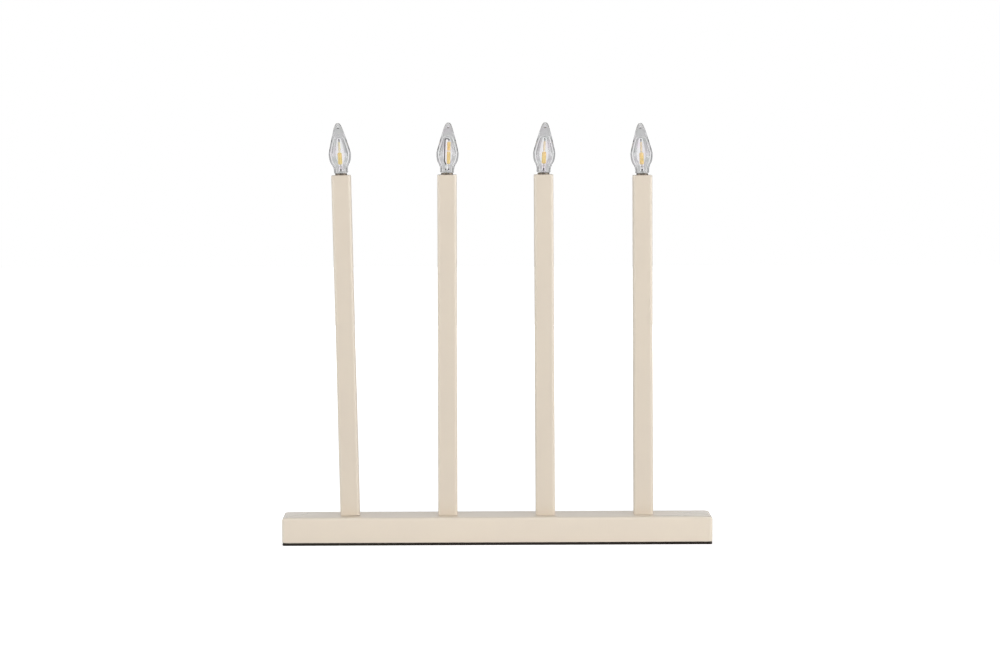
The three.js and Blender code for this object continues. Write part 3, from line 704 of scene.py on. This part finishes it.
def bulb_matrix(number):
    """The bulb's frame in metres: its seat on the collar, its axis through the tip, its wire at -X."""
    seat = candle_matrix(number) @ Vector((0.0, 0.0, COLLAR_TOP * MM))
    glass = [v.co.copy() for v in frame["nodes"][f"bulb_glass_{number}"].data.vertices]
    tip = max(glass, key=lambda point: (point - seat).length)
    up = (tip - seat).normalized()
    wire = [v.co.copy() for v in frame["nodes"][f"bulb_lead_{number}"].data.vertices]
    middle = sum(wire, Vector()) / len(wire) - seat
    across = -(middle - up * middle.dot(up)).normalized()
    depth = up.cross(across)
    turn = Matrix((across, depth, up)).transposed().to_4x4()
    return Matrix.Translation(seat) @ turn @ Matrix.Rotation(WIRE_TURN[number], 4, "Z")


def bulb_piece(kind, number, mesh, look):
    """A finished piece drawn in the bulb's frame, which turns with its lamp."""
    node = f"bulb_{kind}_{number}"
    piece(f"{kind}_{number}", mesh, bulb_matrix(number), look, f"lamp_{number}", node, BULB_SHARP)


def cut(mesh, cutters):
    """The mesh with closed cutter meshes taken out of it."""
    target = new_object("cut_target", mesh)
    tools = []
    for index, cutter in enumerate(cutters):
        tool = new_object(f"cut_tool_{index}", cutter)
        tools.append(tool)
        modifier = target.modifiers.new(f"cut_{index}", "BOOLEAN")
        modifier.operation = "DIFFERENCE"
        modifier.solver = "EXACT"
        modifier.object = tool
    evaluated = target.evaluated_get(bpy.context.evaluated_depsgraph_get())
    result = bpy.data.meshes.new_from_object(evaluated)
    for used in [target, *tools]:
        bpy.data.objects.remove(used)
    return result


def box_mesh(low, high):
    mesh = bmesh.new()
    bmesh.ops.create_cube(mesh, size=1.0)
    size = Vector(high) - Vector(low)
    middle = (Vector(high) + Vector(low)) / 2.0
    matrix = Matrix.Translation(middle) @ Matrix.Diagonal((*size, 1.0))
    bmesh.ops.transform(mesh, matrix=matrix, verts=mesh.verts)
    return finished_mesh("cutter", mesh)


def quarter(radius, steps):
    """Steps round a quarter circle: how far in, how far up, and how much wear and painted highlight each
    point gets.
    """
    for step in range(steps + 1):
        angle = math.pi / 2.0 * step / steps
        yield radius * (1.0 - math.cos(angle)), radius * math.sin(angle), math.sin(2.0 * angle)


def bar(look):
    """The wooden bar: rounded top edges, the wiring channel, the posts' sockets and the cord's groove."""
    outline = rounded_outline(BAR_LENGTH, BAR_DEPTH, BAR_CORNER, CORNER_STEPS, BAR_GAP)
    rings = []
    for inset, rise, edge_mark in reversed(list(quarter(BAR_LOW_EDGE, FINE_EDGE_STEPS))):
        rings.append(inset_ring(outline, inset, BAR_BOTTOM + BAR_LOW_EDGE - rise, edge_mark))
    rings.append(inset_ring(outline, 0.0, (BAR_BOTTOM + BAR_TOP) / 2.0))
    for inset, rise, edge_mark in quarter(BAR_EDGE, BAR_EDGE_STEPS):
        rings.append(inset_ring(outline, inset, BAR_TOP - BAR_EDGE + rise, edge_mark))
    directions = even_directions(SOCKET_SIDES)
    middle = sum(CANDLES) / len(CANDLES)
    cutters = []
    reach = []
    for number in CANDLES:
        matrix = candle_matrix(number)
        matrix.translation /= MM
        shoulder = POST_TRIM[number] - POST_HEIGHT
        socket = ring_mesh("cutter", [
            circle(SOCKET_RADIUS, shoulder - SOCKET_REACH, directions),
            circle(SOCKET_RADIUS, shoulder + SOCKET_SPARE, directions),
        ])
        socket.transform(matrix)
        cutters.append(socket)
        reach.append((number - middle) * POST_SPACING + SOCKET_DRIFT[number])
    below = BAR_BOTTOM - CUT_SPARE
    cutters.append(box_mesh(
        (min(reach) - CHANNEL_OVERRUN, -CHANNEL_HALF_WIDTH, below),
        (max(reach) + CHANNEL_OVERRUN, CHANNEL_HALF_WIDTH, CHANNEL_CEILING),
    ))
    cutters.append(box_mesh(
        (-POCKET_HALF_WIDTH, 0.0, below),
        (POCKET_HALF_WIDTH, POCKET_BACK, CHANNEL_CEILING),
    ))
    cutters.append(box_mesh(
        (-GROOVE_HALF_WIDTH, POCKET_BACK - CUT_SPARE, below),
        (GROOVE_HALF_WIDTH, BAR_DEPTH / 2.0 + CUT_SPARE, GROOVE_TOP),
    ))
    mesh = cut(ring_mesh("bar", rings), cutters)
    piece("bar", mesh, Matrix(), look, ROOT_BODY, "base_block")


def pad(look):
    """The foam pad, whose cut edge is a little uneven."""
    length, depth = BAR_LENGTH - 2.0 * PAD_INSET, BAR_DEPTH - 2.0 * PAD_INSET
    outline = rounded_outline(length, depth, BAR_CORNER - PAD_INSET, PAD_CORNER_STEPS, PAD_GAP)
    rings = []
    for inset, height in PAD_PROFILE:
        ring = []
        for x, y, z, edge_mark in inset_ring(outline, inset, height):
            spot = Vector((x * PAD_RAGGED_ALONG, y * PAD_RAGGED_ALONG, height * PAD_RAGGED_UP))
            ragged = PAD_RAGGED * max(0.0, noise.noise(spot))
            ring.append((x - math.copysign(ragged, x), y - math.copysign(ragged, y), z, edge_mark))
        rings.append(ring)
    piece("pad", ring_mesh("pad", rings), Matrix(), look, ROOT_BODY, "base_pad")


def post(number, look):
    """The square post, bored through, with its counterbore, eased edges and tenon."""
    outline = rounded_outline(POST_SIDE, POST_SIDE, POST_CORNER, CORNER_STEPS, POST_GAP)
    directions = [math.atan2(y, x) for x, y, _ in outline]
    foot = POST_TRIM[number] - POST_HEIGHT
    tenon_foot = foot - TENON_LENGTH
    rings = [
        circle(WIRE_BORE_RADIUS, tenon_foot, directions),
        circle(TENON_RADIUS - TENON_CHAMFER, tenon_foot, directions),
        circle(TENON_RADIUS, tenon_foot + TENON_CHAMFER, directions),
        circle(TENON_RADIUS, foot, directions),
    ]
    for inset, rise, edge_mark in reversed(list(quarter(POST_FOOT_EDGE, FINE_EDGE_STEPS))):
        rings.append(inset_ring(outline, inset, foot + POST_FOOT_EDGE - rise, edge_mark))
    for step in range(1, POST_ROWS):
        rings.append(inset_ring(outline, 0.0, foot * (1.0 - step / POST_ROWS)))
    for inset, rise, edge_mark in quarter(POST_EDGE, POST_EDGE_STEPS):
        rings.append(inset_ring(outline, inset, -POST_EDGE + rise, edge_mark))
    rings += [
        circle(COUNTERBORE_RADIUS + COUNTERBORE_CHAMFER, 0.0, directions),
        circle(COUNTERBORE_RADIUS, -COUNTERBORE_CHAMFER, directions),
        circle(COUNTERBORE_RADIUS, -COUNTERBORE_DEPTH, directions),
        circle(WIRE_BORE_RADIUS, -COUNTERBORE_DEPTH, directions),
    ]
    mesh = ring_mesh("post", rings, closed=True)
    name = f"post_{number}_painted"
    piece(name, mesh, candle_matrix(number), look, ROOT_BODY, f"post_{number}")


def lampholder(number, look):
    """The moulded holder in the post's top: a cup for the threaded sleeve over a chamber for the spring."""
    directions = even_directions(HOLDER_SIDES)
    rings = [end_point(PARTITION_BOTTOM)]
    rings += [circle(radius, height, directions) for radius, height in (
        (HOLDER_BORE, PARTITION_BOTTOM),
        (HOLDER_BORE, HOLDER_BOTTOM),
        (HOLDER_RADIUS - HOLDER_FOOT_CHAMFER, HOLDER_BOTTOM),
        (HOLDER_RADIUS, HOLDER_BOTTOM + HOLDER_FOOT_CHAMFER),
        (HOLDER_RADIUS, HOLDER_TOP - HOLDER_RIM_CHAMFER),
        (HOLDER_RADIUS - HOLDER_RIM_CHAMFER, HOLDER_TOP),
        (HOLDER_BORE + HOLDER_MOUTH_CHAMFER, HOLDER_TOP),
        (HOLDER_BORE, HOLDER_TOP - HOLDER_MOUTH_CHAMFER),
        (HOLDER_BORE, HOLDER_LEDGE),
        (SPRING_CHAMBER, HOLDER_LEDGE),
        (SPRING_CHAMBER, PARTITION_TOP),
    )]
    rings.append(end_point(PARTITION_TOP))
    tail_slot = box_mesh(
        (-TAIL_SLOT_OUTER, -TAIL_SLOT_HALF_WIDTH, PARTITION_BOTTOM - CUT_SPARE),
        (-TAIL_SLOT_INNER, TAIL_SLOT_HALF_WIDTH, PARTITION_TOP + CUT_SPARE),
    )
    tab_slot = box_mesh(
        (TAB_SLOT_INNER, -TAB_SLOT_HALF_WIDTH, PARTITION_BOTTOM - CUT_SPARE),
        (HOLDER_BORE, TAB_SLOT_HALF_WIDTH, HOLDER_LEDGE + CUT_SPARE),
    )
    mesh = cut(ring_mesh("holder", rings), [tail_slot, tab_slot])
    node = f"lampholder_body_{number}"
    piece(f"holder_{number}", mesh, candle_matrix(number), look, ROOT_BODY, node)


def lamp_cap(number, look):
    """The screw cap: a rolled thread under a plain collar with rounded rims."""
    directions = even_directions(CAP_SIDES)
    length = COLLAR_BOTTOM - CAP_BOTTOM
    count = round(length / THREAD_PITCH * THREAD_ROWS)
    rings = [circle(CAP_BORE, CAP_BOTTOM, directions)]
    for step in range(count + 1):
        height = CAP_BOTTOM + length * step / count
        ends = min(height - CAP_BOTTOM, COLLAR_BOTTOM - height) / THREAD_FADE
        fade = min(1.0, max(0.0, ends))
        ring = []
        for angle in directions:
            turns = (height - THREAD_ORIGIN) / THREAD_PITCH - angle / (2.0 * math.pi) - THREAD_START
            wave = fade * math.cos(2.0 * math.pi * turns) - (1.0 - fade)
            radius = THREAD_MIDDLE + THREAD_RISE * wave
            ring.append((radius * math.cos(angle), radius * math.sin(angle), height, 0.0))
        rings.append(ring)
    for inset, rise, _ in reversed(list(quarter(COLLAR_ROUND, COLLAR_STEPS))):
        rings.append(circle(COLLAR_RADIUS - inset, COLLAR_BOTTOM + COLLAR_ROUND - rise, directions))
    for inset, rise, _ in quarter(COLLAR_ROUND, COLLAR_STEPS):
        rings.append(circle(COLLAR_RADIUS - inset, COLLAR_TOP - COLLAR_ROUND + rise, directions))
    rings.append(circle(CAP_BORE + CAP_MOUTH_CHAMFER, COLLAR_TOP, directions))
    rings.append(circle(CAP_BORE, COLLAR_TOP - CAP_MOUTH_CHAMFER, directions))
    mesh = ring_mesh("cap", rings, closed=True)
    body, node = f"lamp_{number}", f"bulb_cap_{number}"
    piece(f"cap_{number}", mesh, candle_matrix(number), look, body, node, CAP_SHARP)


def bezier(points, steps):
    """Points along a cubic curve, without its first."""
    a, b, c, d = (Vector(point) for point in points)
    for step in range(1, steps + 1):
        t = step / steps
        s = 1.0 - t
        yield a * s ** 3 + b * 3 * s * s * t + c * 3 * s * t * t + d * t ** 3


def flame_outline(neck, neck_level, belly, top, tip_radius):
    """A flame's outline from its neck over its belly to its rounded top, as radius and height."""
    middle = top - tip_radius
    join = Vector((tip_radius * math.cos(TIP_SLOPE), middle + tip_radius * math.sin(TIP_SLOPE)))
    rise = BELLY_HEIGHT - neck_level
    climb = join.y - BELLY_HEIGHT
    points = [Vector((neck, neck_level))]
    points += bezier((
        (neck, neck_level),
        (neck, neck_level + rise * NECK_STIFFNESS),
        (belly, BELLY_HEIGHT - rise * BELLY_FULLNESS),
        (belly, BELLY_HEIGHT),
    ), BELLY_STEPS)
    points += bezier((
        (belly, BELLY_HEIGHT),
        (belly, BELLY_HEIGHT + climb * SHOULDER_FULLNESS),
        (join.x + climb * FLANK_LENGTH * math.tan(TIP_SLOPE), join.y - climb * FLANK_LENGTH),
        join,
    ), SHOULDER_STEPS)
    for step in range(1, TIP_STEPS):
        angle = TIP_SLOPE + (math.pi / 2.0 - TIP_SLOPE) * step / TIP_STEPS
        points.append(Vector((tip_radius * math.cos(angle), middle + tip_radius * math.sin(angle))))
    return [(point.x, point.y) for point in points]


def second_material(mesh, look, chosen):
    """Gives the chosen faces of a finished piece another material."""
    mesh.materials.append(look)
    index = len(mesh.materials) - 1
    for face in chosen:
        mesh.polygons[face].material_index = index


def faces_where(mesh, test):
    return [face.index for face in mesh.polygons if test(face)]


def is_cemented(face):
    """Whether cement covers a face of the glass: the spigot's outside and the neck's underside."""
    radius = math.hypot(face.center.x, face.center.y)
    return face.center.z < CEMENT_TOP and CEMENT_INNER < radius < CEMENT_OUTER


def clearness(height):
    """How much of the glass's painted edge shade is lifted at a height: most of it in its neck and at its
    tip.
    """
    neck = (NECK_CLEAR_TOP - height) / NECK_CLEAR_FADE
    tip = (height - TIP_CLEAR_BOTTOM) / TIP_CLEAR_FADE
    return CLEAREST * min(1.0, max(0.0, neck, tip))


def tip_bubble():
    """The drop-shaped bubble that stays in the solid tip where the glass was drawn off."""
    directions = even_directions(BUBBLE_SIDES)
    rings = [end_point(BUBBLE_BOTTOM)]
    for step in range(1, BUBBLE_STEPS):
        angle = math.pi * step / BUBBLE_STEPS
        share = (1.0 - math.cos(angle)) / 2.0
        radius = BUBBLE_RADIUS * math.sin(angle) * (1.0 + BUBBLE_TAPER * (1.0 - 2.0 * share))
        rings.append(circle(radius, BUBBLE_BOTTOM + (BUBBLE_TOP - BUBBLE_BOTTOM) * share, directions))
    rings.append(end_point(BUBBLE_TOP))
    mesh = ring_mesh("bubble", rings)
    mesh.flip_normals()
    return mesh


def bulb_glass(number, look, inner_look, cement):
    """The thick glass: a flame drawn up to a solid tip round a smaller hollow."""
    directions = even_directions(GLASS_SIDES)
    inside = [(SPIGOT_BORE, -SPIGOT_LENGTH)]
    inside += flame_outline(SPIGOT_BORE, BORE_TOP, GLASS_RADIUS - GLASS_WALL, HOLLOW_TOP, HOLLOW_TOP_RADIUS)
    outside = [
        # the spigot's melted rim and its outside
        (SPIGOT_BORE + SPIGOT_ROUND, -SPIGOT_LENGTH - 0.05),
        (SPIGOT_RADIUS - SPIGOT_ROUND, -SPIGOT_LENGTH),
        (SPIGOT_RADIUS, -SPIGOT_LENGTH + SPIGOT_ROUND),
        (SPIGOT_RADIUS, GLASS_FOOT - 0.02),
        # the neck's underside and its rounded edge
        (SPIGOT_RADIUS + 0.3, GLASS_FOOT),
        (NECK_RADIUS - 0.7, GLASS_FOOT),
        (NECK_RADIUS - 0.2, GLASS_FOOT + 0.15),
    ]
    outside += flame_outline(NECK_RADIUS, NECK_HEIGHT, GLASS_RADIUS, GLASS_HEIGHT, TIP_RADIUS)
    rings = [end_point(HOLLOW_TOP)]
    rings += [circle(radius, height, directions) for radius, height in reversed(inside)]
    rings += [circle(radius, height, directions, clearness(height)) for radius, height in outside]
    rings.append(end_point(GLASS_HEIGHT, clearness(GLASS_HEIGHT)))
    shell = ring_mesh("glass", rings)
    covered = faces_where(shell, is_cemented)
    mesh = join_meshes([shell, tip_bubble()])
    hollow = range(len(inside) * len(directions))
    bubble = range(len(shell.polygons), len(mesh.polygons))
    bulb_piece("glass", number, mesh, look)
    second_material(mesh, inner_look, [*hollow, *bubble])
    second_material(mesh, cement, covered)


def oval(half_width, half_depth, height, directions):
    return [(half_width * math.cos(a), half_depth * math.sin(a), height, 0.0) for a in directions]


def bulb_stem(number, look):
    """The glass stem, flared and hollow below, and pinched flat round the wires at its top."""
    directions = even_directions(STEM_SIDES)
    levels = (
        # the hollow, down from its rounded top
        (STEM_HOLLOW * 0.6, STEM_HOLLOW * 0.6, STEM_HOLLOW_TOP - 0.3),
        (STEM_HOLLOW, STEM_HOLLOW, STEM_HOLLOW_TOP - 1.0),
        (STEM_HOLLOW, STEM_HOLLOW, -SPIGOT_LENGTH),
        # the outside, up from the flare to the waist
        (STEM_FLARE, STEM_FLARE, -SPIGOT_LENGTH),
        (STEM_FLARE, STEM_FLARE, 0.0),
        (STEM_WAIST + 0.2, STEM_WAIST + 0.1, STEM_SHOULDER * 0.6),
        (STEM_WAIST, STEM_WAIST, STEM_SHOULDER),
        # the flat pinch and its rounded top
        (PINCH_HALF_WIDTH - 0.05, PINCH_HALF_DEPTH + 0.1, STEM_TOP - 2.0),
        (PINCH_HALF_WIDTH, PINCH_HALF_DEPTH, STEM_TOP - 1.0),
        (PINCH_HALF_WIDTH - 0.1, PINCH_HALF_DEPTH - 0.1, STEM_TOP - 0.35),
        (PINCH_HALF_WIDTH - 0.5, PINCH_HALF_DEPTH - 0.45, STEM_TOP - 0.05),
    )
    rings = [end_point(STEM_HOLLOW_TOP)]
    rings += [oval(width, depth, height, directions) for width, depth, height in levels]
    rings.append(end_point(STEM_TOP))
    bulb_piece("stem", number, ring_mesh("stem", rings), look)


def route(corners, radius):
    """Points along straight runs whose corners are rounded."""
    points = [Vector(corners[0])]
    for before, corner, after in zip(corners, corners[1:], corners[2:]):
        corner = Vector(corner)
        back = Vector(before) - corner
        ahead = Vector(after) - corner
        start = corner + back.normalized() * min(radius, back.length / 2.0)
        end = corner + ahead.normalized() * min(radius, ahead.length / 2.0)
        for step in range(BEND_STEPS + 1):
            t = step / BEND_STEPS
            points.append(start * (1 - t) ** 2 + corner * 2 * t * (1 - t) + end * t ** 2)
    points.append(Vector(corners[-1]))
    return points


def wire_rings(points, radii):
    """Rings round a route in the XZ plane."""
    rings = []
    last = len(points) - 1
    side = Vector((0.0, 1.0, 0.0))
    for index, (point, radius) in enumerate(zip(points, radii)):
        ahead = points[min(index + 1, last)] - points[max(index - 1, 0)]
        ahead.normalize()
        out = side.cross(ahead).normalized()
        ring = []
        for angle in even_directions(WIRE_SIDES):
            offset = (out * math.cos(angle) + side * math.sin(angle)) * radius
            ring.append((*(point + offset), 0.0))
        rings.append(ring)
    return rings


def join_meshes(meshes):
    """One mesh that holds several closed ones."""
    both = bmesh.new()
    for mesh in meshes:
        both.from_mesh(mesh)
    return finished_mesh(meshes[0].name, both)


def sealed_at(height):
    """Whether a wire is sealed into the stem's glass at this height."""
    return SEAL_BOTTOM < height < SEAL_TOP


def seal_radii(points):
    """A wire's radius at each point: thickest in the seal, thin in the rest of the stem, thicker above it."""
    radii = []
    for point in points:
        if sealed_at(point.z):
            radii.append(SEAL_RADIUS)
        else:
            radii.append(FREE_LEAD_RADIUS if point.z > STEM_WIRE_TOP else STEM_WIRE_RADIUS)
    return radii


def is_plated_or_highlit(face):
    """Whether a support wire face gets the bright plated look: plated in the stem outside the seal, painted
    highlight facing the filament.
    """
    in_stem = face.center.z < STEM_WIRE_TOP and not sealed_at(face.center.z)
    return in_stem or face.normal.x > LEAD_HIGHLIT_SIDE


def sealed(points):
    """The route with more points in its lower part, where the seal swells."""
    dense = [points[0]]
    for start, end in zip(points, points[1:]):
        low = min(start.z, end.z) < SEAL_GAPS_END
        count = max(1, round((end - start).length / SEAL_GAP)) if low else 1
        for step in range(1, count + 1):
            dense.append(start.lerp(end, step / count))
    return dense


def bulb_lead(number, look, plated_or_highlit):
    """The support wire: up through the stem, out beside the filament and over to its top."""
    points = sealed(route([
        (-LEAD_HOLE, 0.0, LEAD_FOOT),
        (-LEAD_HOLE, 0.0, LEAD_LEAVES),
        (-LEAD_OFFSET, 0.0, LEAD_UPRIGHT),
        (-LEAD_OFFSET, 0.0, LEAD_TOP),
        (FILAMENT_OFFSET, 0.0, LEAD_TOP),
        (FILAMENT_OFFSET, 0.0, FILAMENT_TOP + FILAMENT_PIN - LEAD_PIN_GAP),
    ], LEAD_BEND))
    mesh = ring_mesh("lead", wire_rings(points, seal_radii(points)))
    # plated faces, and a painted highlight on the side facing the filament
    bright = faces_where(mesh, is_plated_or_highlit)
    bulb_piece("lead", number, mesh, look)
    second_material(mesh, plated_or_highlit, bright)


def rounded_end(distance, reach):
    """How full a rounded end is at a distance from it, up to 1."""
    return math.sqrt(1.0 - (1.0 - min(1.0, distance / reach)) ** 2)


def is_uncoated(face):
    """Whether a face of the filament is bare: the thin half's narrow sides, and a band at its foot."""
    height = face.center.z - FILAMENT_BLOCK_TOP
    on_side = height > BARE_SIDE_START and abs(face.normal.x) > BARE_SIDE_FACING
    return on_side or BARE_BAND[0] < height < BARE_BAND[1]


def filament_strip():
    """The coated strip with its row of chips, thicker in its lower half."""
    directions = even_directions(FILAMENT_SIDES)
    length = FILAMENT_TOP - FILAMENT_FOOT
    extra_depth = FILAMENT_BLOCK_HALF_DEPTH - FILAMENT_HALF_DEPTH
    rings = [end_point(FILAMENT_FOOT, across=FILAMENT_OFFSET)]
    for step in range(1, FILAMENT_ROWS):
        height = FILAMENT_FOOT + length * step / FILAMENT_ROWS
        end = rounded_end(min(height - FILAMENT_FOOT, FILAMENT_TOP - height), FILAMENT_END_ROUND)
        block = rounded_end(max(0.0, FILAMENT_BLOCK_TOP - height), FILAMENT_BLOCK_ROUND)
        chip = 1.0 + CHIP_SWELL * math.cos(2.0 * math.pi * (height - FILAMENT_FOOT) / CHIP_PITCH)
        full = end * chip * CHIP_FULLNESS
        half_depth = FILAMENT_HALF_DEPTH + extra_depth * block
        ring = []
        for angle in directions:
            c, s = math.cos(angle), math.sin(angle)
            power = abs(c) ** FILAMENT_SQUARENESS + abs(s) ** FILAMENT_SQUARENESS
            squared = power ** (-1.0 / FILAMENT_SQUARENESS)
            x = FILAMENT_OFFSET + FILAMENT_HALF_WIDTH * c * squared * full
            ring.append((x, half_depth * s * squared * full, height, 0.0))
        rings.append(ring)
    rings.append(end_point(FILAMENT_TOP, across=FILAMENT_OFFSET))
    return ring_mesh("filament", rings)


def bulb_filament(number, coat, bare_look, wire, plated_or_highlit):
    """The filament: its strip, the wire that it stands on, and the pin at its top."""
    strip = filament_strip()
    foot = sealed(route([
        (LEAD_HOLE, 0.0, FILAMENT_WIRE_FOOT),
        (LEAD_HOLE, 0.0, STEM_TOP),
        (FILAMENT_OFFSET, 0.0, FILAMENT_FOOT + FILAMENT_PIN_SUNK),
    ], FILAMENT_WIRE_BEND))
    foot_mesh = ring_mesh("foot", wire_rings(foot, seal_radii(foot)))
    pin_ends = (FILAMENT_TOP - FILAMENT_PIN_SUNK, FILAMENT_TOP + FILAMENT_PIN)
    pin = [Vector((FILAMENT_OFFSET, 0.0, height)) for height in pin_ends]
    pin_mesh = ring_mesh("pin", wire_rings(pin, [STEM_WIRE_RADIUS, STEM_WIRE_RADIUS]))
    bare = faces_where(strip, is_uncoated)
    mesh = join_meshes([strip, foot_mesh, pin_mesh])
    wire_faces = range(len(strip.polygons), len(mesh.polygons))
    bright = [index for index in wire_faces if not sealed_at(mesh.polygons[index].center.z)]
    bulb_piece("filament", number, mesh, coat)
    second_material(mesh, wire, wire_faces)
    second_material(mesh, plated_or_highlit, bright)
    second_material(mesh, bare_look, bare)


def dress(node, look):
    """Gives a CAD node that stays its finished material."""
    mesh = frame["nodes"][node].data
    mesh.materials.clear()
    mesh.materials.append(look)


def studio_screens(nodes, direction):
    """White screens every 90 degrees round the object, the one behind it brightest in its middle.

    They are grey beside them and darker between them.
    """
    parts = nodes.add("ShaderNodeSeparateXYZ", {"Vector": direction})
    azimuth = nodes.math("ARCTAN2", parts.outputs["Y"], parts.outputs["X"])
    wave = nodes.math("COSINE", nodes.math("MULTIPLY", azimuth, SCREENS))
    beside = nodes.ramp(wave, BESIDE_SPAN, BESIDE)
    screens = nodes.ramp(wave, SCREEN_SPAN, (0.0, SCREEN_WHITE))
    behind = nodes.ramp(nodes.math("SINE", azimuth), CORE_SPAN, (0.0, CORE_WHITE))
    return nodes.math("MAXIMUM", beside, nodes.math("ADD", screens, behind))


def floor():
    """A white table top that keeps the shadow. Glass and gloss see it grey, with screens far away on it."""
    mesh = bpy.data.meshes.new("floor")
    corners = [(x * FLOOR_HALF, y * FLOOR_HALF, 0.0) for x, y in ((-1, -1), (1, -1), (1, 1), (-1, 1))]
    mesh.from_pydata(corners, [], [(0, 1, 2, 3)])
    made, nodes, shader = material("floor")
    shader.inputs["Base Color"].default_value = FLOOR_COLOUR
    shader.inputs["Roughness"].default_value = FLOOR_ROUGHNESS
    shader.inputs["Specular IOR Level"].default_value = 0.0
    place = nodes.add("ShaderNodeTexCoord").outputs["Object"]
    distance = nodes.add("ShaderNodeVectorMath", {0: place}, operation="LENGTH").outputs["Value"]
    white = nodes.math("MULTIPLY", nodes.ray("Camera"), nodes.ramp(distance, FLOOR_GLOW_SPAN, FLOOR_GLOW))
    glow = nodes.add("ShaderNodeEmission", {"Strength": white})
    plain = nodes.add("ShaderNodeAddShader", {0: shader.outputs["BSDF"], 1: glow.outputs["Emission"]})
    screens = nodes.math("MULTIPLY", studio_screens(nodes, place), nodes.ramp(distance, FLOOR_SCREENS_SPAN))
    near = nodes.ramp(distance, FLOOR_NEAR_SPAN, FLOOR_NEAR)
    grey = nodes.math("MAXIMUM", near, nodes.ramp(distance, FLOOR_FAR_SPAN, FLOOR_FAR))
    mirrored = nodes.add("ShaderNodeEmission", {"Strength": nodes.math("MAXIMUM", screens, grey)})
    nodes.surface(nodes.mirrored_ray(), plain.outputs["Shader"], mirrored.outputs["Emission"])
    mesh.materials.append(made)
    found = new_object("floor", mesh)


def world():
    """A white studio: plain white to the camera, and a ring of white screens in grey to glass and gloss."""
    made = bpy.data.worlds.new("studio")
    bpy.context.scene.world = made
    made.use_nodes = True
    nodes = Nodes(made.node_tree)
    direction = nodes.add("ShaderNodeTexCoord").outputs["Generated"]
    mirrored = nodes.mirrored_ray()
    height = nodes.add("ShaderNodeSeparateXYZ", {"Vector": direction}).outputs["Z"]
    ring = nodes.ramp(nodes.math("ABSOLUTE", height), SCREEN_LEVELS, (1.0, 0.0))
    above = nodes.math("MULTIPLY", nodes.math("SUBTRACT", 1.0, ring), BESIDE[1])
    screens = nodes.math("ADD", nodes.math("MULTIPLY", studio_screens(nodes, direction), ring), above)
    seen = nodes.ray("Camera")
    plain = nodes.math("SUBTRACT", 1.0, nodes.math("MAXIMUM", seen, mirrored))
    strength = nodes.math("ADD", seen, nodes.math("MULTIPLY", mirrored, screens))
    soft = nodes.ramp(height, (0.0, 1.0), AMBIENT)
    strength = nodes.math("ADD", strength, nodes.math("MULTIPLY", plain, soft))
    background = made.node_tree.nodes["Background"]
    background.inputs["Color"].default_value = WHITE
    nodes.feed(background.inputs["Strength"], strength)


def softbox(name, place, width, power, glossy):
    """A square area light that faces the object. The glass shows the studio instead of it."""
    data = bpy.data.lights.new(name, "AREA")
    data.shape = "SQUARE"
    data.size = width
    data.energy = power
    found = new_object(name, data)
    found.location = place
    found.rotation_euler = (LIGHT_AIM - Vector(place)).to_track_quat("-Z", "Y").to_euler()
    found.visible_camera = False
    found.visible_transmission = False
    found.visible_glossy = glossy


def studio():
    camera()
    world()
    floor()
    for light in LIGHTS:
        softbox(*light)


def candlestick():
    look = looks()
    bar(look["painted_wood_bar"])
    pad(look["foam_pad"])
    wire = (look["lead_metal"], look["plated_and_highlit_wire"])
    for number in CANDLES:
        post(number, look["painted_wood_post"])
        lampholder(number, look["black_plastic"])
        lamp_cap(number, look["cap_metal"])
        bulb_glass(number, look["clear_glass"], look["inner_glass"], look["cement"])
        bulb_stem(number, look["stem_glass"])
        bulb_lead(number, *wire)
        bulb_filament(number, look["phosphor"], look["filament_strip"], *wire)
        dress(f"thread_sleeve_{number}", look["sleeve_brass"])
        dress(f"contact_spring_{number}", look["spring_bronze"])
        dress(f"bulb_contact_{number}", look["solder"])
        dress(f"bulb_insulator_{number}", look["black_plastic"])
    dress("cord_bush", look["black_plastic"])
    for node in ("crimp_sleeve_1", "crimp_sleeve_2"):
        dress(node, look["crimp_cover"])
    for node in ("wire_holder_1_in", "wire_1_to_2", "wire_2_to_3", "wire_3_to_4", "wire_holder_4_out"):
        dress(node, look["wire_cover"])


bpy.context.scene.view_settings.view_transform = "Standard"
studio()
candlestick()
